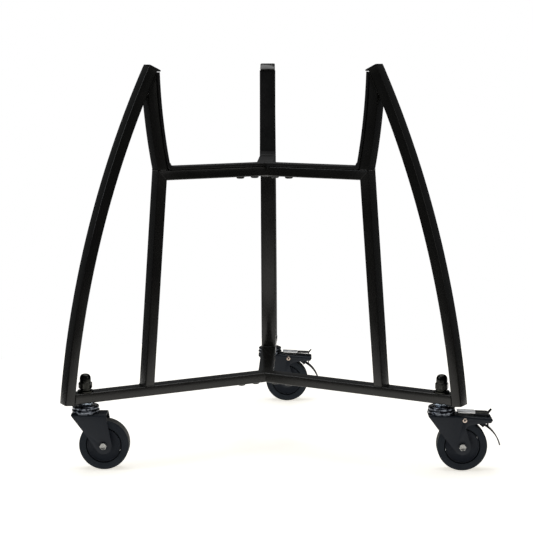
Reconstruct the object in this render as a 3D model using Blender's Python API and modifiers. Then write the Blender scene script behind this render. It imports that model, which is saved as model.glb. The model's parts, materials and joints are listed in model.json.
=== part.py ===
"""Three-legged rolling cradle stand: three bowed tube panels, two hubs, three swivel casters.

Metres, +Z up, floor at Z = 0. The origin is the middle of the stand's footprint box.
A panel is drawn in its own plane: X is the distance from the hub's axis, Y is the height.
"""
import math

import bmesh
import bpy
from mathutils import Matrix, Vector

# Fits
GAP = 0.0003                    # between pieces that touch
SHAFT_CLEARANCE = 0.0003        # round a shaft, bolt or pin in its hole

# Tube
TUBE_WIDTH = 0.025              # across the panel
TUBE_DEPTH = 0.016              # in the panel's plane
TUBE_WALL = 0.0015
TUBE_CORNER = 0.0018

# Panels
PANEL_ANGLES = {"rear": 90.0, "left": 210.0, "right": 330.0}
CRADLE_UNDERSIDE = 0.4435       # upper rails above the floor
FOOT_RADIUS = 0.3562            # outer face of a leg at its foot
LEG_TOP_RADIUS = 0.2078         # outer face of a leg at its top end
LEG_TOP_HEIGHT = 0.6204
LEG_BOW = 0.024                 # how far a leg bulges out of its chord
LEG_STEPS = 12
UPRIGHT_BASE_RADIUS = 0.222     # outer face of an upright where it meets the lower rail
UPRIGHT_TOP_RADIUS = 0.196      # and at the underside of the upper rail
ARM_OVERRUN = 0.0040            # arm's outer face beyond the leg's, at the leg's top
ARM_BOW = 0.0035
ARM_STEPS = 8
CAP_THICKNESS = 0.0025

# Rubber liner on the arms and the upper rails
LINER_THICKNESS = 0.005
LINER_WIDTH = 0.027
LINER_BEND = 0.006

# Hubs
CONNECTOR_REACH = 0.060
HUB_BOLT_RADIUS = 0.045
HUB_BOLT_SHANK = 0.003
HUB_BOLT_LENGTH = 0.0085
HUB_BOLT_HEAD_RADIUS = 0.0065
HUB_BOLT_HEAD_HEIGHT = 0.0032

# Caster stem and its nut
STEM_RADIUS = 0.006
STEM_INSET = 0.0382             # swivel axis inside the leg's outer face at the foot
STEM_IN_NUT = 0.012
COLLAR_FLATS = 0.020
COLLAR_HEIGHT = 0.0033
WASHER_RADIUS = 0.01245
WASHER_THICKNESS = 0.0025
CAP_NUT_FLATS = 0.019
CAP_NUT_HEX_HEIGHT = 0.0125
CAP_NUT_DOME_RADIUS = 0.0088
CAP_NUT_HEIGHT = 0.0254

# Swivel head
CROWN_CLEARANCE = 0.0087        # between the tyre and the fork's top plate
RACE_HEIGHT = 0.0060
UPPER_RACE_RADIUS = 0.0208
LOWER_RACE_RADIUS = 0.0215
RACE_GAP = 0.0006
KINGPIN_RADIUS = 0.005
KINGPIN_HEAD_RADIUS = 0.008
KINGPIN_HEAD_HEIGHT = 0.002

# Wheel
WHEEL_RADIUS = 0.0386
WHEEL_WIDTH = 0.026
PLAIN_TRAIL = 0.0285            # axle behind the swivel axis, casters without a brake
BRAKED_TRAIL = 0.0315           # and with one
TYRE_DEPTH = 0.0127             # tread to core
CORE_WIDTH = 0.024
RIM_BAND = 0.0042
WEB_WIDTH = 0.010
BOSS_RADIUS = 0.010
GROOVE_WIDTH = 0.0018
GROOVE_DEPTH = 0.0022
TYRE_SHOULDER = 0.0018
WHEEL_STEPS = 32

# Axle
AXLE_RADIUS = 0.003
AXLE_HEX_FLATS = 0.010
AXLE_HEAD_HEIGHT = 0.004
AXLE_NUT_HEIGHT = 0.005
AXLE_TIP = 0.0015               # bolt end past its nut

# Fork
FORK_PLATE = 0.0022
FORK_CLEARANCE = 0.002          # between the wheel and a fork leg
FORK_NOSE = 0.021               # front of the fork ahead of the swivel axis
FORK_BACK = 0.033               # top corner of a plain fork behind the swivel axis
FORK_FOOT_RADIUS = 0.0128
FORK_STEPS = 8

# Brake
HOUSING_BEYOND_TYRE = 0.0072    # end of the brake housing behind the tyre
HOUSING_STEP = 0.0005           # start of the housing's top under the fork's
HOUSING_DROP = 0.0045           # and its fall over its length
HOUSING_END_HEIGHT = 0.0068
PIVOT_BEHIND_AXLE = 0.003
PIVOT_ABOVE_TYRE = 0.0032
PIVOT_RADIUS = 0.0018
PIVOT_HEAD_RADIUS = 0.0038
PIVOT_HEAD_HEIGHT = 0.0010
PIVOT_EYE_RADIUS = 0.0029
PEDAL_THICKNESS = 0.0018
PEDAL_WIDTH = 0.018
PEDAL_BEYOND_TYRE = 0.0199      # tip of the leaf behind the tyre
PEDAL_STEPS = 12
RELEASE_BEYOND_TYRE = 0.0015    # release tab's stem
RELEASE_WIDTH = 0.008
RELEASE_PAD_WIDTH = 0.015
RELEASE_PAD_LENGTH = 0.020
RELEASE_PAD_RISE = 0.0082       # pad above the pedal's pivot
RELEASE_PLATE_WIDTH = 0.022     # plate ahead of the pad, over the housing
RELEASE_PLATE_START = 0.0025    # its front end clear of the lower race
RELEASE_PLATE_RISE = 0.0103     # and that end above the pedal's pivot
RELEASE_TIP_RISE = 0.0145
RELEASE_TIP_FLARE = 0.0045      # tip behind the stem
SLOT_CLEARANCE = 0.0020
SHOE_TO_TYRE = 0.0036           # with the brake off
SHOE_WIDTH = 0.016

# Worked out from the driving dimensions
FORK_TOP = 2 * WHEEL_RADIUS + CROWN_CLEARANCE + FORK_PLATE
LOWER_RACE_TOP = FORK_TOP + RACE_HEIGHT
UPPER_RACE_TOP = LOWER_RACE_TOP + RACE_GAP + RACE_HEIGHT
RAIL_UNDERSIDE = UPPER_RACE_TOP + COLLAR_HEIGHT + GAP
RAIL_TOP = RAIL_UNDERSIDE + TUBE_DEPTH
CRADLE_TOP = CRADLE_UNDERSIDE + TUBE_DEPTH
STEM_RADIUS_FROM_HUB = FOOT_RADIUS - STEM_INSET
FORK_HALF_GAP = WHEEL_WIDTH / 2 + FORK_CLEARANCE
FORK_HALF_WIDTH = FORK_HALF_GAP + FORK_PLATE
NUT_SEAT = RAIL_TOP + GAP + WASHER_THICKNESS + GAP
CORE_RADIUS = WHEEL_RADIUS - TYRE_DEPTH
PIVOT_X = BRAKED_TRAIL + PIVOT_BEHIND_AXLE
PIVOT_HEIGHT = 2 * WHEEL_RADIUS + PIVOT_ABOVE_TYRE
RELEASE_X = BRAKED_TRAIL + WHEEL_RADIUS + RELEASE_BEYOND_TYRE
HOUSING_END = BRAKED_TRAIL + WHEEL_RADIUS + HOUSING_BEYOND_TYRE
BRAKED = ("rear", "right")

SIDE_VIEW = (math.radians(90), 0.0, 0.0)   # stands an outline drawn in XY upright


def clear_scene():
    for obj in list(bpy.data.objects):
        bpy.data.objects.remove(obj, do_unlink=True)


def new_collection(name):
    collection = bpy.data.collections.new(name)
    bpy.context.scene.collection.children.link(collection)
    return collection


def new_material(name, color, roughness, metallic):
    material = bpy.data.materials.new(name)
    material.use_nodes = True
    shader = material.node_tree.nodes["Principled BSDF"]
    shader.inputs["Base Color"].default_value = (*color, 1.0)
    shader.inputs["Roughness"].default_value = roughness
    shader.inputs["Metallic"].default_value = metallic
    return material


def new_empty(name, parent, location=(0, 0, 0), turn=0.0):
    empty = bpy.data.objects.new(name, None)
    PARTS.objects.link(empty)
    empty.parent = parent
    empty.location = location
    empty.rotation_euler = (0.0, 0.0, turn)
    return empty


def add_part(name, mesh, parent, look, location=(0, 0, 0), rotation=(0, 0, 0)):
    """A named sub-part with its own material."""
    obj = bpy.data.objects.new(name, mesh)
    PARTS.objects.link(obj)
    obj.parent = parent
    obj.location = location
    obj.rotation_euler = rotation
    obj.data.materials.append(new_material(name, *look))
    return obj


def add_cutter(name, mesh, parent, location=(0, 0, 0), rotation=(0, 0, 0)):
    obj = bpy.data.objects.new(name, mesh)
    CUTTERS.objects.link(obj)
    obj.parent = parent
    obj.location = location
    obj.rotation_euler = rotation
    obj.hide_render = True
    obj.display_type = 'WIRE'
    return obj


def boolean(obj, tool, operation='DIFFERENCE'):
    modifier = obj.modifiers.new(tool.name, 'BOOLEAN')
    modifier.operation = operation
    modifier.solver = 'EXACT'
    modifier.object = tool


def outline_mesh(name, points, half_width, corner=0.0, sharp_ends=()):
    """A flat outline in XY, extruded both ways along Z.

    corner rounds the outline's rims. sharp_ends are the numbers of the sides left sharp,
    side n being the one from point n to the next.
    """
    curve = bpy.data.curves.new(name, 'CURVE')
    curve.dimensions = '2D'
    curve.fill_mode = 'BOTH'
    curve.extrude = half_width
    spline = curve.splines.new('POLY')
    spline.points.add(len(points) - 1)
    for point, (x, y) in zip(spline.points, points):
        point.co = (x, y, 0.0, 1.0)
    spline.use_cyclic_u = True
    holder = bpy.data.objects.new(name + "_outline", curve)
    bpy.context.scene.collection.objects.link(holder)
    bpy.context.view_layer.update()
    evaluated = holder.evaluated_get(bpy.context.evaluated_depsgraph_get())
    mesh = bpy.data.meshes.new_from_object(evaluated)
    mesh.name = name
    mesh.materials.clear()
    bpy.data.objects.remove(holder, do_unlink=True)
    bm = bmesh.new()
    bm.from_mesh(mesh)
    bmesh.ops.remove_doubles(bm, verts=bm.verts, dist=1e-6)
    bmesh.ops.dissolve_limit(bm, angle_limit=math.radians(0.1), verts=bm.verts, edges=bm.edges,
                             delimit={'NORMAL'})
    bmesh.ops.recalc_face_normals(bm, faces=bm.faces)
    if corner > 0:
        round_rims(bm, points, corner, sharp_ends)
    bm.to_mesh(mesh)
    bm.free()
    return mesh


def round_rims(bm, points, corner, sharp_ends):
    ends = [(Vector(points[n]), Vector(points[(n + 1) % len(points)])) for n in sharp_ends]

    def on_sharp_end(edge):
        middle = Vector((edge.verts[0].co.xy + edge.verts[1].co.xy) / 2)
        return any((middle - (a + b) / 2).length < 1e-5 for a, b in ends)

    rims = [edge for edge in bm.edges
            if abs(edge.verts[0].co.z - edge.verts[1].co.z) < 1e-7 and not on_sharp_end(edge)]
    bmesh.ops.bevel(bm, geom=rims, offset=corner, offset_type='OFFSET', segments=2,
                    profile=0.5, affect='EDGES', clamp_overlap=True)


def smooth(mesh, angle=35.0):
    mesh.shade_smooth()
    mesh.set_sharp_from_angle(angle=math.radians(angle))


def cylinder_mesh(name, radius, bottom, top, steps=24, turn=0.0):
    """A cylinder, or a prism with few steps, standing along Z."""
    bm = bmesh.new()
    bmesh.ops.create_cone(bm, cap_ends=True, segments=steps, radius1=radius, radius2=radius,
                          depth=top - bottom)
    bmesh.ops.rotate(bm, verts=bm.verts, matrix=Matrix.Rotation(turn, 3, 'Z'))
    bmesh.ops.translate(bm, verts=bm.verts, vec=(0, 0, (top + bottom) / 2))
    mesh = bpy.data.meshes.new(name)
    bm.to_mesh(mesh)
    bm.free()
    smooth(mesh)
    return mesh


def box_mesh(name, low, high):
    bm = bmesh.new()
    bmesh.ops.create_cube(bm, size=1.0)
    size = [b - a for a, b in zip(low, high)]
    middle = [(a + b) / 2 for a, b in zip(low, high)]
    bmesh.ops.scale(bm, verts=bm.verts, vec=size)
    bmesh.ops.translate(bm, verts=bm.verts, vec=middle)
    mesh = bpy.data.meshes.new(name)
    bm.to_mesh(mesh)
    bm.free()
    return mesh


def hexagon_mesh(name, flats, bottom, top):
    """A hexagonal prism with its width across flats along X."""
    return cylinder_mesh(name, flats / 2 / math.cos(math.pi / 6), bottom, top, 6, math.pi / 6)


def turned_mesh(name, profile, steps, closed=False):
    """A profile of (radius, height) points turned about Z, down its outer side.

    A closed profile is a ring's section. An open one starts and ends on the axis.
    """
    mesh = bpy.data.meshes.new(name)
    edges = [(n, n + 1) for n in range(len(profile) - 1)]
    if closed:
        edges.append((len(profile) - 1, 0))
    mesh.from_pydata([(r, 0.0, z) for r, z in profile], edges, [])
    holder = bpy.data.objects.new(name + "_profile", mesh)
    bpy.context.scene.collection.objects.link(holder)
    screw = holder.modifiers.new("Screw", 'SCREW')
    screw.axis = 'Z'
    screw.angle = math.tau
    screw.steps = steps
    screw.render_steps = steps
    screw.use_merge_vertices = True
    screw.merge_threshold = 0.00001
    screw.use_smooth_shade = True
    bpy.context.view_layer.update()
    evaluated = holder.evaluated_get(bpy.context.evaluated_depsgraph_get())
    turned = bpy.data.meshes.new_from_object(evaluated)
    turned.name = name
    bpy.data.objects.remove(holder, do_unlink=True)
    bpy.data.meshes.remove(mesh)
    smooth(turned)
    return turned


# Geometry of a panel

def bow(start, end, bulge):
    """Circle through two points that bulges to the right of the way from start to end."""
    start, end = Vector(start), Vector(end)
    chord = end - start
    length = chord.length
    right = Vector((chord.y, -chord.x)) / length
    radius = (length * length / 4 + bulge * bulge) / (2 * bulge)
    centre = (start + end) / 2 + right * (bulge - radius)
    first = math.atan2(start.y - centre.y, start.x - centre.x)
    last = math.atan2(end.y - centre.y, end.x - centre.x)
    return centre, radius, first, last


def arc(centre, radius, first, last, steps):
    return [(centre.x + radius * math.cos(first + (last - first) * n / steps),
             centre.y + radius * math.sin(first + (last - first) * n / steps))
            for n in range(steps + 1)]


def band(circle, near, far, steps, overrun=0.0):
    """Curved strip between two depths inside a bow, a little longer if overrun is given."""
    centre, radius, first, last = circle
    extra = overrun / radius
    outer = arc(centre, radius - near, first - extra, last + extra, steps)
    inner = arc(centre, radius - far, last + extra, first - extra, steps)
    return outer + inner


def leg_circle():
    return bow((FOOT_RADIUS, RAIL_UNDERSIDE), (LEG_TOP_RADIUS, LEG_TOP_HEIGHT), LEG_BOW)


def arm_circle():
    base = (upright_face(CRADLE_TOP + GAP), CRADLE_TOP + GAP)
    top = (LEG_TOP_RADIUS + ARM_OVERRUN, LEG_TOP_HEIGHT)
    return bow(base, top, ARM_BOW)


def upright_face(height, depth=0.0):
    """Radius of the upright's outer face, or of a plane that deep inside it."""
    lean = (UPRIGHT_BASE_RADIUS - UPRIGHT_TOP_RADIUS) / (CRADLE_UNDERSIDE - RAIL_TOP)
    along = UPRIGHT_BASE_RADIUS - lean * (height - RAIL_TOP)
    return along - depth * math.hypot(1.0, lean)


def radius_on(circle, height, depth=0.0):
    """Radius at which a face of a bow, that deep inside it, passes a height."""
    centre, radius, _, _ = circle
    return centre.x + math.sqrt((radius - depth) ** 2 - (height - centre.y) ** 2)


def leg_end():
    """The leg's top end: its inner corner, and the direction inwards along its end."""
    centre, radius, _, last = leg_circle()
    inward = Vector((-math.cos(last), -math.sin(last)))
    return centre - inward * (radius - TUBE_DEPTH), inward


def fillet(corner, before, after, radius, steps=5):
    """Points of a round corner between two straight sides."""
    corner = Vector(corner)
    to_before = (Vector(before) - corner).normalized()
    to_after = (Vector(after) - corner).normalized()
    half = to_before.angle(to_after) / 2
    centre = corner + (to_before + to_after).normalized() * radius / math.sin(half)
    start = (corner + to_before * radius / math.tan(half) - centre).normalized()
    end = (corner + to_after * radius / math.tan(half) - centre).normalized()
    return [tuple(centre + start.slerp(end, n / steps) * radius) for n in range(steps + 1)]


# Frame pieces

def make_panel(side, root):
    panel = new_empty(side + "_panel", root, turn=math.radians(PANEL_ANGLES[side]))
    notch = hub_notch(side, panel)
    beyond = leg_zone(side, panel)
    make_lower_rail(side, panel, notch)
    make_leg(side, panel)
    make_upright(side, panel)
    make_upper_rail(side, panel, notch)
    make_arm(side, panel, beyond)
    make_liner(side, panel, notch, beyond)
    make_cap(side, panel)


def hub_notch(side, panel):
    """Cuts the hub end of a rail to the point that lets three rails meet."""
    reach = 0.04
    tip = GAP / 2 / math.sin(math.radians(60))
    spread = tip + reach / math.tan(math.radians(60))
    points = [(tip, 0.0), (spread, reach), (-reach, reach), (-reach, -reach), (spread, -reach)]
    mesh = outline_mesh(side + "_notch", points, LEG_TOP_HEIGHT)
    return add_cutter(side + "_notch", mesh, panel)


def leg_zone(side, panel):
    """Everything outside the leg's inner face or past its top end."""
    centre, radius, first, last = leg_circle()
    corner, inward = leg_end()
    face = arc(centre, radius - TUBE_DEPTH - GAP, first, last, LEG_STEPS)
    far = corner + inward * 0.06
    height = LEG_TOP_HEIGHT + 0.06
    reach = FOOT_RADIUS + 0.06
    points = face + [tuple(far), (far.x, height), (reach, height), (reach, face[0][1])]
    mesh = outline_mesh(side + "_leg_zone", points, TUBE_WIDTH)
    return add_cutter(side + "_leg_zone", mesh, panel, rotation=SIDE_VIEW)


def make_tube(name, panel, outer, inner, sharp_ends):
    tube = add_part(name, outline_mesh(name, outer, TUBE_WIDTH / 2, TUBE_CORNER, sharp_ends),
                    panel, BLACK_PAINT, rotation=SIDE_VIEW)
    smooth(tube.data)
    hollow = add_cutter(name + "_hollow",
                        outline_mesh(name + "_hollow", inner, TUBE_WIDTH / 2 - TUBE_WALL),
                        panel, rotation=SIDE_VIEW)
    boolean(tube, hollow)
    return tube


def straight_tube(name, panel, low, high, start, end):
    """A level rail from radius start to end; end may differ at its top and bottom."""
    bottom_end, top_end = end
    slant = (top_end - bottom_end) / (high - low)
    outer = [(start, low), (bottom_end, low), (top_end, high), (start, high)]
    inner = [(start - 0.01, low + TUBE_WALL),
             (bottom_end + slant * TUBE_WALL + 0.01, low + TUBE_WALL),
             (top_end - slant * TUBE_WALL + 0.01, high - TUBE_WALL),
             (start - 0.01, high - TUBE_WALL)]
    return make_tube(name, panel, outer, inner, (1, 3))


def make_lower_rail(side, panel, notch):
    circle = leg_circle()
    end = (radius_on(circle, RAIL_UNDERSIDE, TUBE_DEPTH) - GAP,
           radius_on(circle, RAIL_TOP, TUBE_DEPTH) - GAP)
    rail = straight_tube(side + "_lower_rail", panel, RAIL_UNDERSIDE, RAIL_TOP, -0.02, end)
    boolean(rail, notch)
    drill(rail, panel, "stem", STEM_RADIUS_FROM_HUB, STEM_RADIUS, RAIL_UNDERSIDE - 0.01,
          RAIL_TOP + 0.01)
    drill(rail, panel, "bolt", HUB_BOLT_RADIUS, HUB_BOLT_SHANK, RAIL_UNDERSIDE - 0.01,
          RAIL_UNDERSIDE + TUBE_WALL + GAP / 2)


def make_upper_rail(side, panel, notch):
    """Ends in a mitre with the upright, from the inner corner to the outer one."""
    mitre = GAP / 2 * math.sqrt(2)
    end = (upright_face(CRADLE_UNDERSIDE, TUBE_DEPTH) - mitre, upright_face(CRADLE_TOP) - mitre)
    rail = straight_tube(side + "_upper_rail", panel, CRADLE_UNDERSIDE, CRADLE_TOP, -0.02, end)
    boolean(rail, notch)
    drill(rail, panel, "bolt", HUB_BOLT_RADIUS, HUB_BOLT_SHANK, CRADLE_UNDERSIDE - 0.01,
          CRADLE_UNDERSIDE + TUBE_WALL + GAP / 2)


def drill(obj, parent, tag, along, radius, bottom, top, steps=12):
    name = obj.name + "_" + tag + "_hole"
    mesh = cylinder_mesh(name, radius + SHAFT_CLEARANCE, bottom, top, steps)
    boolean(obj, add_cutter(name, mesh, parent, location=(along, 0, 0)))


def make_leg(side, panel):
    circle = leg_circle()
    outer = band(circle, 0.0, TUBE_DEPTH, LEG_STEPS)
    inner = band(circle, TUBE_WALL, TUBE_DEPTH - TUBE_WALL, LEG_STEPS, overrun=0.01)
    make_tube(side + "_leg", panel, outer, inner, (LEG_STEPS, 2 * LEG_STEPS + 1))


def make_upright(side, panel):
    """Stands on the lower rail and is mitred to the upper rail."""
    low = RAIL_TOP + GAP
    mitre = GAP / 2 * math.sqrt(2)
    outer = [(upright_face(low, TUBE_DEPTH), low), (upright_face(low), low),
             (upright_face(CRADLE_TOP) + mitre, CRADLE_TOP - GAP),
             (upright_face(CRADLE_UNDERSIDE, TUBE_DEPTH), CRADLE_UNDERSIDE - GAP)]
    foot = low - 0.01
    head = CRADLE_TOP + 0.01
    near, far = TUBE_WALL, TUBE_DEPTH - TUBE_WALL
    inner = [(upright_face(foot, far), foot), (upright_face(foot, near), foot),
             (upright_face(head, near), head), (upright_face(head, far), head)]
    make_tube(side + "_upright", panel, outer, inner, (0, 2))


def make_arm(side, panel, beyond):
    """Bows out from the cradle corner and dies into the leg's inner face."""
    circle = arm_circle()
    outer = band(circle, 0.0, TUBE_DEPTH, ARM_STEPS)
    base = CRADLE_TOP + GAP
    outer[0] = (radius_on(circle, base), base)
    outer[-1] = (radius_on(circle, base, TUBE_DEPTH), base)
    inner = band(circle, TUBE_WALL, TUBE_DEPTH - TUBE_WALL, ARM_STEPS, overrun=0.01)
    arm = make_tube(side + "_arm", panel, outer, inner, (ARM_STEPS, 2 * ARM_STEPS + 1))
    boolean(arm, beyond)


def make_liner(side, panel, notch, beyond):
    """Rubber strip along the top of the rail, round the bend and up the arm."""
    circle = arm_circle()
    centre, radius, _, last = circle
    low = CRADLE_TOP + GAP
    high = low + LINER_THICKNESS
    back = TUBE_DEPTH + GAP
    face = back + LINER_THICKNESS

    def up_the_arm(depth, height):
        first = math.asin((height - centre.y) / (radius - depth))
        return arc(centre, radius - depth, first, last, ARM_STEPS)

    arm_back = up_the_arm(back, low)
    arm_face = up_the_arm(face, high)
    bend = fillet(arm_face[0], arm_face[1], (0.0, high), LINER_BEND)
    points = [(-0.02, low)] + arm_back + arm_face[:0:-1] + bend + [(-0.02, high)]
    name = side + "_liner"
    liner = add_part(name, outline_mesh(name, points, LINER_WIDTH / 2), panel, RUBBER,
                     rotation=SIDE_VIEW)
    boolean(liner, notch)
    boolean(liner, beyond)


def make_cap(side, panel):
    """Plate that closes the top of the leg and covers the end of the liner."""
    corner, inward = leg_end()
    up = Vector((inward.y, -inward.x))
    outer = corner - inward * TUBE_DEPTH
    tip = corner + inward * (LINER_THICKNESS + GAP)
    points = [tuple(point + up * lift) for point, lift in
              ((tip, GAP), (tip, GAP + CAP_THICKNESS), (outer, GAP + CAP_THICKNESS), (outer, GAP))]
    name = side + "_top_cap"
    add_part(name, outline_mesh(name, points, TUBE_WIDTH / 2), panel, BLACK_PAINT,
             rotation=SIDE_VIEW)


# Hubs

def make_hub(level, underside, root):
    """Three-armed connector inside the rails and the bolts that hold it."""
    name = level + "_connector"
    inside = TUBE_WALL + GAP
    half = TUBE_WIDTH / 2 - inside
    points = []
    for angle in sorted(PANEL_ANGLES.values()):
        turn = math.radians(angle)
        along = Vector((math.cos(turn), math.sin(turn)))
        across = Vector((-along.y, along.x))
        points.append(tuple(along * CONNECTOR_REACH - across * half))
        points.append(tuple(along * CONNECTOR_REACH + across * half))
        between = turn + math.radians(60)
        crotch = half / math.sin(math.radians(60))
        points.append((crotch * math.cos(between), crotch * math.sin(between)))
    height = TUBE_DEPTH - 2 * inside
    connector = add_part(name, outline_mesh(name, points, height / 2), root, BARE_STEEL,
                         location=(0, 0, underside + TUBE_DEPTH / 2))
    for side, angle in PANEL_ANGLES.items():
        spoke = new_empty(level + "_" + side + "_spoke", root, turn=math.radians(angle))
        tip = underside + TUBE_WALL + HUB_BOLT_LENGTH + GAP
        drill(connector, spoke, side + "_bolt", HUB_BOLT_RADIUS, HUB_BOLT_SHANK,
              underside - 0.01, tip)
        make_hub_bolt(level + "_" + side + "_bolt", spoke, underside)


def make_hub_bolt(name, spoke, underside):
    seat = underside - GAP
    tip = underside + TUBE_WALL + HUB_BOLT_LENGTH
    edge = HUB_BOLT_HEAD_RADIUS
    profile = [(0.0, tip), (HUB_BOLT_SHANK, tip), (HUB_BOLT_SHANK, seat), (edge, seat),
               (edge, seat - HUB_BOLT_HEAD_HEIGHT * 0.35),
               (edge * 0.8, seat - HUB_BOLT_HEAD_HEIGHT * 0.8),
               (edge * 0.5, seat - HUB_BOLT_HEAD_HEIGHT), (0.0, seat - HUB_BOLT_HEAD_HEIGHT)]
    add_part(name, turned_mesh(name, profile, 12), spoke, BLACK_STEEL,
             location=(HUB_BOLT_RADIUS, 0, 0))


# Casters

def trail(side):
    return BRAKED_TRAIL if side in BRAKED else PLAIN_TRAIL


def make_caster(side, root):
    angle = math.radians(PANEL_ANGLES[side])
    place = (STEM_RADIUS_FROM_HUB * math.cos(angle), STEM_RADIUS_FROM_HUB * math.sin(angle), 0)
    mount = new_empty(side + "_caster", root, location=place)
    make_stem(side, mount)
    make_washer(side, mount)
    make_cap_nut(side, mount)
    swivel = new_empty(side + "_swivel_axis", mount)
    make_fork(side, swivel)
    axle = new_empty(side + "_axle_axis", swivel, location=(trail(side), 0, WHEEL_RADIUS))
    make_wheel(side, axle)
    make_axle(side, axle)
    if side in BRAKED:
        make_brake(side, swivel)


def make_stem(side, mount):
    """Threaded stem, hexagonal collar, upper race and the kingpin that carries the fork."""
    top = NUT_SEAT + STEM_IN_NUT
    collar_top = RAIL_UNDERSIDE - GAP
    race_bottom = UPPER_RACE_TOP - RACE_HEIGHT
    rim = UPPER_RACE_RADIUS
    groove = race_bottom + RACE_HEIGHT * 0.3
    pin_bottom = FORK_TOP - FORK_PLATE - GAP
    head_bottom = pin_bottom - KINGPIN_HEAD_HEIGHT
    chamfer = 0.001
    profile = [(0.0, top), (STEM_RADIUS, top), (STEM_RADIUS, UPPER_RACE_TOP),
               (rim * 0.86, UPPER_RACE_TOP), (rim, UPPER_RACE_TOP - RACE_HEIGHT * 0.25),
               (rim, groove), (rim * 0.93, race_bottom), (KINGPIN_RADIUS, race_bottom),
               (KINGPIN_RADIUS, pin_bottom), (KINGPIN_HEAD_RADIUS, pin_bottom),
               (KINGPIN_HEAD_RADIUS, head_bottom), (0.0, head_bottom)]
    name = side + "_stem"
    stem = add_part(name, turned_mesh(name, profile, 24), mount, ZINC)
    collar = add_cutter(name + "_collar", hexagon_mesh(name + "_collar", COLLAR_FLATS,
                        UPPER_RACE_TOP - chamfer, collar_top), mount)
    boolean(stem, collar, 'UNION')


def make_washer(side, mount):
    low = RAIL_TOP + GAP
    high = low + WASHER_THICKNESS
    hole = STEM_RADIUS + SHAFT_CLEARANCE
    profile = [(hole, high), (WASHER_RADIUS, high), (WASHER_RADIUS, low), (hole, low)]
    name = side + "_washer"
    add_part(name, turned_mesh(name, profile, 20, closed=True), mount, DARK_ZINC)


def make_cap_nut(side, mount):
    """Hexagon with a tall dome and a blind bore for the stem."""
    name = side + "_cap_nut"
    hex_top = NUT_SEAT + CAP_NUT_HEX_HEIGHT
    top = NUT_SEAT + CAP_NUT_HEIGHT
    dome = CAP_NUT_DOME_RADIUS
    rise = top - hex_top
    straight = rise * 0.35
    steps = 4
    profile = [(0.0, top)]
    for n in range(1, steps + 1):
        turn = math.radians(90) * n / steps
        profile.append((dome * math.sin(turn), hex_top + straight
                        + (rise - straight) * math.cos(turn)))
    profile += [(dome, NUT_SEAT + 0.001), (0.0, NUT_SEAT + 0.001)]
    nut = add_part(name, hexagon_mesh(name, CAP_NUT_FLATS, NUT_SEAT, hex_top), mount, DARK_ZINC)
    bevel = CAP_NUT_FLATS / 2
    corner = bevel / math.cos(math.pi / 6)
    blank = [(0.0, hex_top), (bevel * 0.98, hex_top), (corner, hex_top - 0.0022),
             (corner, NUT_SEAT + 0.0012), (bevel, NUT_SEAT), (0.0, NUT_SEAT)]
    boolean(nut, add_cutter(name + "_chamfer", turned_mesh(name + "_chamfer", blank, 12), mount),
            'INTERSECT')
    boolean(nut, add_cutter(name + "_dome", turned_mesh(name + "_dome", profile, 16), mount),
            'UNION')
    bore = cylinder_mesh(name + "_bore", STEM_RADIUS + SHAFT_CLEARANCE, NUT_SEAT - 0.01,
                         NUT_SEAT + STEM_IN_NUT + GAP, 12)
    boolean(nut, add_cutter(name + "_bore", bore, mount))


def fork_side(side):
    """The fork's side outline, X behind the swivel axis and Y the height."""
    foot = Vector((trail(side), WHEEL_RADIUS))
    nose = Vector((-FORK_NOSE, FORK_TOP - FORK_PLATE))
    if side in BRAKED:
        end = HOUSING_END
        start_top = FORK_TOP - HOUSING_STEP
        end_top = start_top - HOUSING_DROP
        end_bottom = end_top - HOUSING_END_HEIGHT
        knee = (foot.x + 0.0050, 2 * WHEEL_RADIUS - 0.0105)
        back = [(LOWER_RACE_RADIUS - HOUSING_STEP, FORK_TOP), (LOWER_RACE_RADIUS, start_top),
                (end - 0.002, end_top), (end, end_top - 0.0015),
                (end, end_bottom + 0.0015), (end - 0.003, end_bottom), (foot.x + 0.0236, end_bottom - 0.0016),
                (foot.x + 0.0115, end_bottom - 0.0040), knee]
    else:
        knee = (FORK_BACK + 0.0012, FORK_TOP - 0.008)
        back = [(FORK_BACK, FORK_TOP), knee]
    away = tangent_angle(foot, Vector(knee), FORK_FOOT_RADIUS, right_side=True)
    towards = tangent_angle(foot, nose, FORK_FOOT_RADIUS, right_side=False)
    sweep = arc(foot, FORK_FOOT_RADIUS, away, towards - math.tau, FORK_STEPS)
    return [(-FORK_NOSE, FORK_TOP)] + back + sweep + [tuple(nose)]


def tangent_angle(centre, point, radius, right_side):
    """Where on a circle the tangent from a point touches, as an angle."""
    away = point - centre
    half = math.acos(radius / away.length)
    base = math.atan2(away.y, away.x)
    angle = base - half if right_side else base + half
    return angle if right_side else angle % math.tau


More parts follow.
